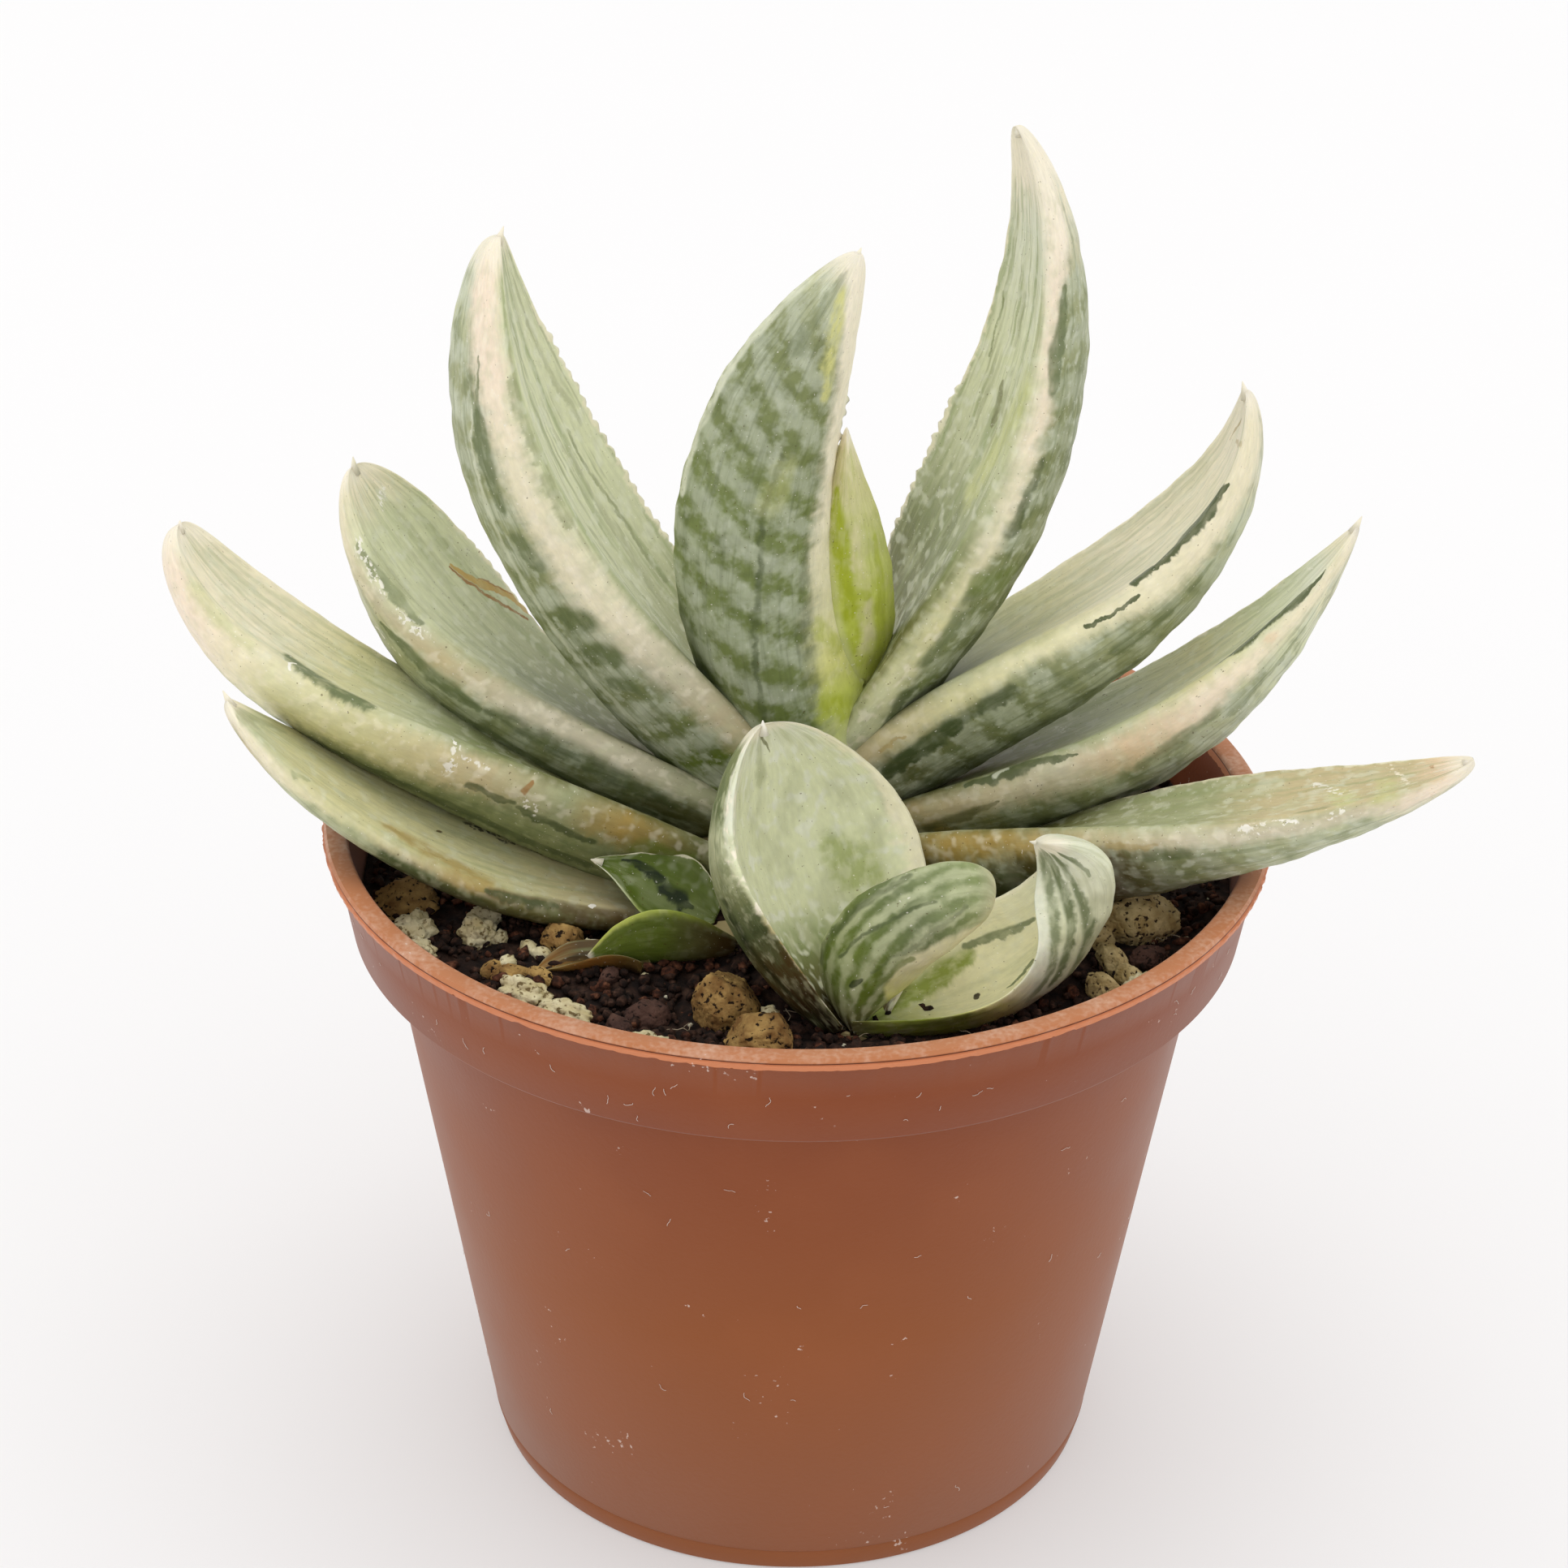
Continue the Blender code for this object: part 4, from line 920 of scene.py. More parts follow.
                Mark(((0.66, 6.4, 0.5), (0.8, 6.3, 0.4)), Tint.DEEP_GREEN, 0.5, 0.7),
                Mark(((0.3, 7.0, 0.8), (0.5, 6.9, 0.6)), Tint.DARK_GREEN, 0.8, 0.7),
                Mark(((0.37, 1.0, 0.3), (0.39, 1.5, 0.4)), Tint.FROST, 0.6, 0.6, 2.0, True),
                Mark(((0.885, 0.7, 0.2), (0.888, 1.6, 0.25)), Tint.CRUST, 0.8, 0.6, 2.0, True),
                Mark(((0.29, 4.2, 0.3), (0.31, 4.0, 0.3)), Tint.FROST, 0.8, 0.5),
                Mark(((0.78, 4.8, 0.6), (0.785, 5.0, 0.6)), Tint.PEACH, 0.6, 0.8),
            ),
        ),
    ),
    Leaf(
        "leaf_left_1", root=(-10.0, -4.5, 58.0), heading=(190, 186, 177), rise=(9, 19, 40, 40),
        length=45.0, half_width=(5.5, 8.75, 7.0, 4.75), depth=(3.5, 5.5, 2.25), roll=(-5, 6, -17),
        cup=(0.0, -0.05), tip_from=0.75, slot=PALE,
        skin=Skin(
            flesh=((0.05, Tint.DULL_SAGE), (0.15, Tint.SAND), (0.4, Tint.STRAW), (0.52, Tint.STRAW), (0.68, Tint.STRAW), (0.84, Tint.STRAW), (0.93, Tint.SAGE), (0.97, Tint.CREAM)),
            band=((0.14, Tint.BROWN), (0.3, Tint.MOSS), (0.43, Tint.STAIN), (0.56, Tint.SAND), (0.7, Tint.STRAW), (0.9, Tint.CREAM)),
            # Painted shadow: the back runs dark brown and green up to 0.62 of the length, for the shadow on this low
            # leaf's underside.
            back=((0.2, Tint.BROWN), (0.35, Tint.OLIVE), (0.62, Tint.DARK_GREEN), (0.66, Tint.DULL_SAGE), (0.82, Tint.SAGE), (0.9, Tint.SAND)),
            band_top=((0.1, 4.3), (0.35, 4.1), (0.5, 4.3), (0.8, 4.7)),
            band_foot=((0.15, 5.2), (0.3, 5.0), (0.5, 4.8), (0.68, 4.9), (0.78, 5.4), (0.85, 6.4)),
            soft=0.6, veins=0.3, clouds=0.3, mottle=0.4, shade=0.1,
            marks=(
                Mark(((0.42, 3.9, 1.0), (0.52, 3.5, 1.6), (0.61, 3.2, 0.8)), Tint.STAIN, 0.75, 0.95),
                Mark(((0.16, 4.6, 0.8), (0.26, 4.4, 0.9), (0.4, 4.5, 0.5)), Tint.BROWN, 0.75, 0.7),
                Mark(((0.28, 4.5, 0.35), (0.35, 4.5, 0.5), (0.41, 4.5, 0.25)), Tint.DARK_GREEN, 0.8, 0.6),
                Mark(((0.8, 3.9, 0.2), (0.83, 4.4, 0.4)), Tint.DULL_SAGE, 0.7, 0.7),
                Mark(((0.2, 3.85, 0.25), (0.205, 4.0, 0.25)), Tint.CRUST, 1.0, 0.3, 0.5),
                Mark(((0.51, 2.0, 0.2), (0.515, 2.05, 0.2)), Tint.BROWN, 0.9, 0.4),
                Mark(((0.27, 1.35, 0.4), (0.44, 0.95, 0.5)), Tint.DIRT, 0.8, 0.5, 2.0, True),
                Mark(((0.87, 0.8, 0.8), (0.94, 1.6, 1.0), (0.96, 3.5, 0.8), (0.965, 4.7, 0.5)), Tint.DULL_SAGE, 0.7, 0.8),
            ),
        ),
    ),
    Leaf(
        "leaf_right_1", root=(8.5, -1.0, 58.0), heading=(-23, -21, -6), rise=(33, 19, 9, 24),
        length=54.75, half_width=(7.75, 9.5, 5.25, 3.25), depth=(6.25, 8.75, 3.75),
        roll=(-40, -8, 15), cup=(0.15, 0.05), tip_from=0.41, slot=PALE, front=-1, point=0.15,
        skin=Skin(
            flesh=((0.3, Tint.OLIVE), (0.42, Tint.DULL_SAGE), (0.55, Tint.DULL_SAGE), (0.68, Tint.SAND), (0.78, Tint.SAND), (0.9, Tint.SAND), (0.945, Tint.PEACH), (0.98, Tint.PINK_CREAM)),
            band=((0.15, Tint.STAIN), (0.3, Tint.STAIN), (0.42, Tint.SAND), (0.58, Tint.GREY_CREAM), (0.8, Tint.GREY_CREAM), (0.93, Tint.PINK_CREAM)),
            back=((0.2, Tint.OLIVE), (0.44, Tint.BROWN), (0.52, Tint.MOSS), (0.66, Tint.DULL_SAGE), (0.82, Tint.SAGE), (0.9, Tint.CREAM)),
            band_top=((0.0, 4.4), (1.0, 4.4)),
            band_foot=((0.2, 5.7), (0.45, 5.1), (0.6, 5.4), (0.72, 5.3), (0.82, 5.2), (0.88, 6.1)),
            veins=0.4, clouds=0.35, pale=Tint.MIST,
            rungs=0.3, rung_spacing=4.2, rung_slant=0.1, marks=(
                Mark(((0.73, 3.7, 0.4), (0.76, 3.5, 0.5)), Tint.MOSS, 0.6, 0.8),
                Mark(((0.78, 2.0, 1.0), (0.8, 3.5, 1.0)), Tint.YELLOW_GREEN, 0.6, 0.9),
                Mark(((0.86, 1.8, 0.8), (0.86, 4.4, 1.2)), Tint.YELLOW_GREEN, 0.5, 0.9),
                Mark(((0.45, 5.1, 0.3), (0.52, 5.1, 0.2)), Tint.STAIN, 0.5, 0.6),
                Mark(((0.5, 5.5, 0.5), (0.56, 5.6, 0.6)), Tint.DARK_GREEN, 0.5, 0.7),
                Mark(((0.65, 4.6, 0.5), (0.72, 4.5, 0.4)), Tint.CRUST, 0.9, 0.4, 2.0, True),
                Mark(((0.77, 4.4, 0.4), (0.8, 4.3, 0.4)), Tint.CRUST, 0.9, 0.4, 2.0, True),
                Mark(((0.74, 1.1, 0.5), (0.79, 2.1, 0.6)), Tint.CRUST, 0.7, 0.4, 2.0, True),
                Mark(((0.86, 0.3, 0.3), (0.89, 1.8, 0.2), (0.9, 3.0, 0.2)), Tint.IVORY, 0.7, 0.5, 2.0, True),
                Mark(((0.935, 1.0, 0.2), (0.94, 1.6, 0.2)), Tint.RUST, 0.6, 0.5, 2.0, True),
            ),
        ),
    ),
    Leaf(
        "offset_leaf_middle", root=(5.0, -25.0, 57.5), heading=(1, 9, 37), rise=(95, 50, 25, -33),
        length=17.5, half_width=(0.75, 7.75, 2.25, 6.5), depth=(3.0, 4.0, 2.0), roll=(92, 98, 67),
        cup=(0.35, 0.25), tip_from=0.62, slot=MOTTLED, build=Build.SHEATHING, point=0.6,
        stations=90, around=80,
        skin=Skin(
            flesh=((0.1, Tint.FERN), (0.4, Tint.LEMON), (0.9, Tint.BUTTER)),
            band=((0.1, Tint.LEAF_GREEN), (0.25, Tint.LEMON), (0.45, Tint.BUTTER), (0.7, Tint.BUTTER), (1.0, Tint.CREAM)),
            back=((0.04, Tint.DIRT), (0.1, Tint.OLIVE), (0.2, Tint.LEAF_GREEN), (0.35, Tint.LEAF_GREEN), (0.6, Tint.DEEP_GREEN), (0.85, Tint.JADE), (1.0, Tint.CREAM)),
            band_top=((0.0, 3.5), (1.0, 3.5)),
            band_foot=((0.1, 5.0), (0.3, 6.6), (0.5, 7.0), (0.7, 6.9), (0.85, 6.9)),
            soft=0.25, feather=0.4, rungs=0.5, rung_spacing=7.0, rung_slant=3.9, mottle=0.15, rim=0.25, clouds=0.15, pale=Tint.PALE_GREEN, shade=0.2,
            marks=(
                Mark(((0.15, 7.2, 0.5), (0.35, 6.9, 0.4), (0.5, 6.8, 0.3)), Tint.LEAF_GREEN, 0.7, 0.7),
                Mark(((0.26, 7.7, 0.3), (0.29, 7.6, 0.3)), Tint.INK_GREEN, 0.9, 0.4),
                Mark(((0.35, 7.5, 0.2), (0.5, 7.2, 0.2), (0.68, 7.5, 0.25), (0.8, 7.9, 0.15)), Tint.DARK_GREEN, 0.45, 0.95),
                Mark(((0.3, 8.5, 0.2), (0.5, 8.3, 0.2), (0.68, 8.3, 0.2)), Tint.DARK_GREEN, 0.75, 0.8),
                Mark(((0.22, 9.4, 0.5), (0.5, 9.3, 0.4), (0.65, 9.5, 0.3)), Tint.DARK_GREEN, 0.7, 0.7),
            ),
        ),
    ),
    Leaf(
        "offset_leaf_back", root=(5.0, -26.0, 57.0), heading=(125, 124, 121), rise=(43, 32, 74, 80),
        length=27.5, half_width=(3.0, 14.25, 13.75, 10.0), depth=(2.75, 8.5, 2.5),
        roll=(-14, -28, -21), cup=(0.6, 0.25), tip_from=0.48, slot=PALE, build=Build.SHEATHING,
        point=0.8, stations=130, around=110,
        skin=Skin(
            flesh=((0.08, Tint.BROWN), (0.2, Tint.OLIVE), (0.3, Tint.JADE), (0.42, Tint.PALE_GREEN), (0.65, Tint.PALE_GREEN), (0.85, Tint.PALE_GREEN), (0.97, Tint.FROST)),
            band=((0.12, Tint.BROWN), (0.25, Tint.STAIN), (0.42, Tint.SAGE), (0.6, Tint.PALE_GREEN), (0.8, Tint.FROST), (0.95, Tint.FROST)),
            back=((0.03, Tint.DIRT), (0.2, Tint.BROWN), (0.35, Tint.DARK_GREEN), (0.48, Tint.MOSS), (0.6, Tint.DULL_SAGE), (0.72, Tint.SAGE), (0.8, Tint.DEEP_GREEN), (0.95, Tint.MOSS)),
            band_top=((0.2, 3.8), (0.6, 3.6), (0.9, 3.3)),
            band_foot=((0.1, 4.1), (0.5, 4.3), (0.72, 4.7), (0.9, 4.7)),
            soft=0.2, feather=0.5, veins=0.0, clouds=0.9, shade=0.2, rim=0.35, dark=Tint.DEEP_GREEN,
            marks=(
                Mark(((0.42, 0.7, 1.3), (0.48, 0.8, 2.2), (0.56, 1.0, 1.2)), Tint.FERN, 0.65, 0.95),
                Mark(((0.15, 5.3, 0.8), (0.3, 5.4, 0.9), (0.48, 5.3, 0.8)), Tint.INK_GREEN, 0.75, 0.9),
                Mark(((0.83, 2.1, 1.0), (0.96, 2.2, 0.8)), Tint.DULL_SAGE, 0.65, 0.8),
                Mark(((0.895, 1.7, 0.1), (0.93, 1.8, 0.2), (0.965, 2.1, 0.3)), Tint.OLIVE, 0.85, 0.5, 1.0),
                Mark(((0.6, 2.4, 0.8), (0.7, 2.5, 0.8)), Tint.DULL_SAGE, 0.3, 0.9),
                Mark(((0.74, 1.5, 0.8), (0.8, 1.2, 0.8)), Tint.DULL_SAGE, 0.3, 0.9),
            ),
        ),
    ),
    Leaf(
        "offset_leaf_front", root=(4.5, -25.5, 57.5), heading=(8, 27, 16), rise=(9, -5, 30, 156),
        length=29.5, half_width=(2.75, 7.0, 7.25, 1.25), depth=(2.5, 3.5, 4.75), roll=(2, 33, -62),
        cup=(0.6, 0.45), tip_from=0.82, slot=MOTTLED, build=Build.SHEATHING, front=-1, point=0.8,
        stations=130, around=90,
        skin=Skin(
            flesh=((0.04, Tint.FERN), (0.15, Tint.YELLOW_GREEN), (0.3, Tint.BUTTER), (0.6, Tint.BUTTER), (0.9, Tint.FROST)),
            band=((0.04, Tint.OLIVE), (0.18, Tint.FERN), (0.32, Tint.LEMON), (0.45, Tint.BUTTER), (0.55, Tint.FROST), (0.9, Tint.FROST)),
            back=((0.02, Tint.OLIVE), (0.08, Tint.FERN), (0.15, Tint.FERN), (0.3, Tint.FERN), (0.42, Tint.LEMON), (0.5, Tint.FROST), (0.7, Tint.PALE_GREEN), (0.95, Tint.FROST)),
            band_top=((0.0, 3.8), (1.0, 3.8)),
            band_foot=((0.05, 4.0), (0.4, 4.5), (0.5, 4.9), (0.65, 4.7), (0.95, 4.4)),
            soft=0.25, feather=0.5, veins=0.15, clouds=0.2, mottle=0.3, rim=0.3, dark=Tint.DULL_SAGE, shade=0.1,
            marks=(
                Mark(((0.08, 1.8, 0.8), (0.2, 1.3, 1.2), (0.32, 1.05, 1.1), (0.42, 0.95, 0.6)), Tint.FERN, 0.95, 0.8),
                Mark(((0.42, 0.75, 0.3), (0.5, 0.8, 0.5), (0.58, 0.88, 0.5), (0.635, 0.95, 0.3)), Tint.DEEP_GREEN, 0.85, 0.5),
                Mark(((0.46, 2.7, 0.15), (0.52, 2.5, 0.35), (0.56, 2.2, 0.2)), Tint.DEEP_GREEN, 0.9, 0.4),
                Mark(((0.376, 2.25, 0.3), (0.38, 2.2, 0.3)), Tint.DIRT, 0.95, 0.3),
                Mark(((0.03, 5.7, 0.9), (0.2, 5.8, 0.4), (0.3, 5.6, 0.5), (0.4, 5.6, 0.5), (0.46, 5.8, 0.3)), Tint.DIRT, 0.7, 0.5, 2.0, True),
                Mark(((0.15, 4.6, 0.8), (0.24, 4.6, 0.9), (0.3, 4.5, 0.5)), Tint.LEAF_GREEN, 0.6, 0.9),
                Mark(((0.49, 5.3, 0.5), (0.6, 5.0, 0.6), (0.68, 4.8, 0.5), (0.85, 4.7, 0.5), (0.96, 4.6, 0.6)), Tint.DEEP_GREEN, 0.8, 0.8),
                Mark(((0.56, 5.6, 0.5), (0.63, 5.45, 0.9), (0.72, 5.3, 0.6), (0.84, 5.15, 0.6), (0.96, 5.0, 0.7)), Tint.DEEP_GREEN, 0.95, 0.7),
                Mark(((0.6, 6.1, 0.5), (0.68, 5.95, 0.8), (0.76, 5.7, 0.6), (0.86, 5.5, 0.5), (0.96, 5.4, 0.5)), Tint.DEEP_GREEN, 0.9, 0.8),
                Mark(((0.88, 5.95, 0.2), (0.93, 5.95, 0.5), (0.965, 5.8, 0.3)), Tint.DEEP_GREEN, 0.85, 0.5),
            ),
        ),
    ),
    Leaf(
        "small_offset_leaf_upper", root=(-7.0, -11.5, 59.0), heading=(171, 159, 174),
        rise=(26, 18, 33, 8), length=12.0, half_width=(0.75, 6.25, 2.0, 1.0),
        depth=(1.0, 1.75, 0.9), roll=(27, 33, 22), cup=(0.3, 0.2), tip_from=0.44,
        slot="dark_leaf", build=Build.SHEATHING, point=0.6, stations=70, around=60,
        skin=Skin(
            flesh=((0.1, Tint.GRASS), (0.35, Tint.GRASS), (0.9, Tint.GRASS)),
            band=((0.1, Tint.LEAF_GREEN), (0.5, Tint.FERN), (0.9, Tint.FROST)),
            back=((0.1, Tint.LEAF_GREEN), (0.9, Tint.LEAF_GREEN)),
            band_top=((0.0, 3.85), (1.0, 3.75)), band_foot=((0.0, 4.3), (1.0, 4.3)),
            soft=0.2, feather=0.4, veins=0.1, clouds=0.15, rim=0.12, mottle=0.1, shade=0.1, dark=Tint.INK_GREEN,
            marks=(
                Mark(((0.2, 2.1, 0.3), (0.3, 2.0, 0.9), (0.42, 2.0, 0.8)), Tint.INK_GREEN, 1.0, 0.5, 1.5),
                Mark(((0.5, 1.4, 0.4), (0.6, 1.2, 0.7), (0.72, 0.9, 0.6), (0.8, 0.8, 0.3)), Tint.INK_GREEN, 1.0, 0.5, 1.5),
            ),
        ),
    ),
    Leaf(
        "small_offset_leaf_lower", root=(-5.5, -14.5, 58.0), heading=(189, 184, 200),
        rise=(12, 13, -7, -14), length=13.0, half_width=(1.5, 4.5, 6.5, 1.0),
        depth=(0.9, 3.0, 1.25), roll=(-33, -51, -53), cup=(0.35, 0.3), tip_from=0.48,
        slot="dark_leaf", build=Build.SHEATHING, point=0.4, stations=70, around=60,
        skin=Skin(
            flesh=((0.1, Tint.OLIVE), (0.5, Tint.GRASS), (0.9, Tint.LEAF_GREEN)),
            band=((0.1, Tint.OLIVE), (0.4, Tint.FERN), (0.9, Tint.LIME)),
            back=((0.1, Tint.BROWN), (0.3, Tint.OLIVE), (0.5, Tint.LEAF_GREEN), (0.7, Tint.LEAF_GREEN), (0.95, Tint.LEAF_GREEN)),
            band_top=((0.0, 3.7), (1.0, 3.7)), band_foot=((0.0, 4.6), (1.0, 4.6)),
            soft=0.3, feather=0.4, veins=0.1, clouds=0.1, mottle=0.12, shade=0.1, dark=Tint.INK_GREEN, rim=0.12,
            marks=(
                Mark(((0.3, 7.4, 0.3), (0.6, 7.4, 0.3), (0.9, 7.4, 0.2)), Tint.LIME, 0.6, 0.9),
                Mark(((0.3, 1.0, 0.5), (0.7, 1.0, 0.6)), Tint.INK_GREEN, 0.8, 0.5),
            ),
        ),
    ),
    Leaf(
        "small_offset_leaf_dry", root=(-13.0, -18.5, 58.2), heading=(150, 178, 215),
        rise=(5, 0, -14), length=10.0, half_width=(0.8, 2.9, 1.9, 0.6),
        depth=(0.8, 1.6, 0.8), roll=(-25, -10, 20), cup=(0.5, 0.2), tip_from=0.5,
        slot="dry_leaf", build=Build.SHEATHING, point=0.0, stations=60, around=50,
        skin=Skin(
            flesh=((0.1, Tint.BROWN), (0.6, Tint.BROWN), (1.0, Tint.RUST)),
            band=((0.1, Tint.BROWN), (0.6, Tint.RUST), (1.0, Tint.STAIN)),
            back=((0.1, Tint.DIRT), (0.6, Tint.BROWN), (1.0, Tint.RUST)),
            veins=0.6, clouds=0.0, mottle=0.8, dark=Tint.DIRT, pale=Tint.STAIN, rim=0.1, tip=1.2,
            marks=(Mark(((0.2, 2.0, 0.3), (0.5, 1.5, 0.4), (0.9, 2.5, 0.3)), Tint.DIRT, 0.8, 0.6),),
        ),
    ),
)


@dataclass(frozen=True)
class FleshyStem:
    """The short stem's skin, a dull tan with faint clouds where old leaves sat."""

    tint: str = "#b8a87a"
    shade: str = "#7a683c"
    cloud: float = 2.0

    def material(self) -> bpy.types.Material:
        """Build the stem's material."""
        skin, tree, shader = new_material("fleshy_stem_skin")
        place = add(tree, "ShaderNodeTexCoord").outputs["Object"]
        spots = add(tree, "ShaderNodeTexNoise", {"Vector": place, "Scale": 1.0 / (self.cloud * MM)})
        mixed = add(
            tree, "ShaderNodeMix",
            {0: spots.outputs[0], 6: linear(self.tint), 7: linear(self.shade)}, data_type="RGBA",
        )
        tree.links.new(mixed.outputs[2], shader.inputs["Base Color"])
        shader.inputs["Roughness"].default_value = 0.6
        return skin


@dataclass
class Plant:
    """All the leaves, and the short stems that carry them."""

    leaves: tuple = LEAVES
    stems: tuple = ("crown", "offset_stem", "small_offset_stem")

    def build(self, nodes: dict) -> list[bpy.types.Object]:
        """Build every leaf and dress the stems.

        Args:
            nodes: The CAD nodes by name.

        Returns:
            The leaf objects.
        """
        made = []
        for index, leaf in enumerate(self.leaves):
            skin = SkinPainter(leaf, 10.0 + 17.3 * index).finish()
            piece = new_piece("gasteria_" + leaf.name, leaf.mesh(), skin)
            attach(piece, BODY)
            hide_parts(leaf.name)
            made.append(piece)
            LOG.info("%s: %d faces", piece.name, len(piece.data.polygons))
        stem = FleshyStem().material()
        for name in self.stems:
            nodes[name].data.materials.clear()
            nodes[name].data.materials.append(stem)
        return made


@dataclass(frozen=True)
class MouldedPolypropylene:
    """Terracotta-coloured polypropylene, moulded, with a fine orange peel and a bloom of dust.

    To the eye that gives a satin brown that goes paler where the side turns away, white scuffs
    along the worn rim, and a ragged edge where the flash was torn off. The thin flash is painted
    a bright orange, painted light that shines through it, and the groove under the lip is
    painted dark, painted shade.
    """

    foot_tint: str = "#8c4f28"
    body_tint: str = "#8b4814"
    skirt_tint: str = "#803800"
    blush_tint: str = "#98542c"
    rim_tint: str = "#b9764c"
    rim_worn_tint: str = "#d0a48a"
    # Painted shade: the dark brown of the recessed groove under the lip.
    groove_shade_tint: str = "#5a2c18"
    # Painted light: the bright orange of the thin flash, where light shines through it.
    lit_flash_tint: str = "#cc7e54"
    lint_tint: str = "#e6d2c6"
    flash_foot: float = 1.2
    groove_foot: float = 0.53
    groove_top: float = 0.43
    tear: float = 0.9

    def material(self, height: float) -> bpy.types.Material:
        """Build the plastic of a pot.

        Args:
            height: The pot's height.

        Returns:
            The material.
        """
        skin, tree, shader = new_material("moulded_polypropylene")
        place = add(tree, "ShaderNodeTexCoord").outputs["Object"]
        rise = add(tree, "ShaderNodeSeparateXYZ", {0: place}).outputs[2]
        share = add(tree, "ShaderNodeMapRange", {0: rise, 2: height * MM}).outputs[0]
        shades = add(tree, "ShaderNodeValToRGB", {0: share})
        shades.color_ramp.elements[0].color = linear(self.foot_tint)
        shades.color_ramp.elements[1].position = 0.85
        shades.color_ramp.elements[1].color = linear(self.skirt_tint)
        shades.color_ramp.elements.new(0.45).color = linear(self.body_tint)
        cloud = add(tree, "ShaderNodeTexNoise", {"Vector": place, "Scale": 1.0 / (16.0 * MM), "Detail": 4.0})
        blush = add(tree, "ShaderNodeMapRange", {0: cloud.outputs[0], 1: 0.45, 2: 0.75, 4: 0.35})
        body = add(
            tree, "ShaderNodeMix",
            {0: blush.outputs[0], 6: shades.outputs[0], 7: linear(self.blush_tint)}, data_type="RGBA",
        )
        # Painted light: a ragged band of bright orange along the flash, for the light that shines through the thin
        # plastic.
        torn = add(tree, "ShaderNodeTexNoise", {"Vector": place, "Scale": 1.0 / (0.9 * MM), "Detail": 5.0})
        shaken = add(
            tree, "ShaderNodeMath", {0: torn.outputs[0], 1: self.tear * MM, 2: rise}, operation="MULTIPLY_ADD"
        )
        flash_foot = (height - self.flash_foot + 0.5 * self.tear) * MM
        flash = add(
            tree, "ShaderNodeMapRange", {0: shaken.outputs[0], 1: flash_foot, 2: flash_foot + 0.04 * MM}
        )
        with_lit_flash = add(
            tree, "ShaderNodeMix", {0: flash.outputs[0], 6: body.outputs[2], 7: linear(self.lit_flash_tint)},
            data_type="RGBA",
        )
        # Painted shade: a dark band in the recessed groove under the lip.
        in_groove_shade = add(
            tree, "ShaderNodeMapRange",
            {0: rise, 1: (height - self.groove_foot) * MM, 2: (height - self.groove_foot + 0.05) * MM},
        )
        groove_shaded = add(
            tree, "ShaderNodeMix", {0: in_groove_shade.outputs[0], 6: with_lit_flash.outputs[2], 7: linear(self.groove_shade_tint)},
            data_type="RGBA",
        )
        fine = add(tree, "ShaderNodeTexNoise", {"Vector": place, "Scale": 1.0 / (0.5 * MM), "Detail": 4.0})
        broad = add(tree, "ShaderNodeTexNoise", {"Vector": place, "Scale": 1.0 / (5.0 * MM), "Detail": 2.0})
        both = add(tree, "ShaderNodeMath", {0: fine.outputs[0], 1: broad.outputs[0]}, operation="ADD")
        worn = add(tree, "ShaderNodeMapRange", {0: both.outputs[0], 1: 0.95, 2: 1.3, 4: 0.7})
        rim = add(
            tree, "ShaderNodeMix",
            {0: worn.outputs[0], 6: linear(self.rim_tint), 7: linear(self.rim_worn_tint)}, data_type="RGBA",
        )
        on_rim = add(
            tree, "ShaderNodeMapRange",
            {0: rise, 1: (height - self.groove_top) * MM, 2: (height - self.groove_top + 0.06) * MM},
        )
        whole = add(
            tree, "ShaderNodeMix", {0: on_rim.outputs[0], 6: groove_shaded.outputs[2], 7: rim.outputs[2]},
            data_type="RGBA",
        )
        speck = add(tree, "ShaderNodeMapRange", {0: both.outputs[0], 1: 1.35, 2: 1.4, 4: 0.6})
        dusty = add(
            tree, "ShaderNodeMix", {0: speck.outputs[0], 6: whole.outputs[2], 7: linear(self.lint_tint)},
            data_type="RGBA",
        )
        tree.links.new(dusty.outputs[2], shader.inputs["Base Color"])
        gloss = add(tree, "ShaderNodeMapRange", {0: cloud.outputs[0], 1: 0.3, 2: 0.7, 3: 0.42, 4: 0.55})
        tree.links.new(gloss.outputs[0], shader.inputs["Roughness"])
        relief = add(
            tree, "ShaderNodeBump", {"Strength": 0.3, "Distance": 0.06 * MM, "Height": fine.outputs[0]}
        )
        tree.links.new(relief.outputs[0], shader.inputs["Normal"])
        shader.inputs["IOR"].default_value = 1.36
        shader.inputs["Sheen Weight"].default_value = 0.1
        return skin


@dataclass(frozen=True)
class DryFibre:
    """A dry root hair or a thread of lint: pale, matt and a little see-through."""

    name: str
    tint: str
    roughness: float = 0.7

    def material(self) -> bpy.types.Material:
        """Build the fibre's material, paler and darker along it."""
        skin, tree, shader = new_material(self.name)
        place = add(tree, "ShaderNodeTexCoord").outputs["Object"]
        shade = add(tree, "ShaderNodeTexNoise", {"Vector": place, "Scale": 1.0 / (1.5 * MM)})
        value = add(tree, "ShaderNodeMapRange", {0: shade.outputs[0], 3: 0.75, 4: 1.2})
        toned = add(
            tree, "ShaderNodeHueSaturation", {"Value": value.outputs[0], "Color": linear(self.tint)}
        )
        tree.links.new(toned.outputs[0], shader.inputs["Base Color"])
        shader.inputs["Roughness"].default_value = self.roughness
        return skin


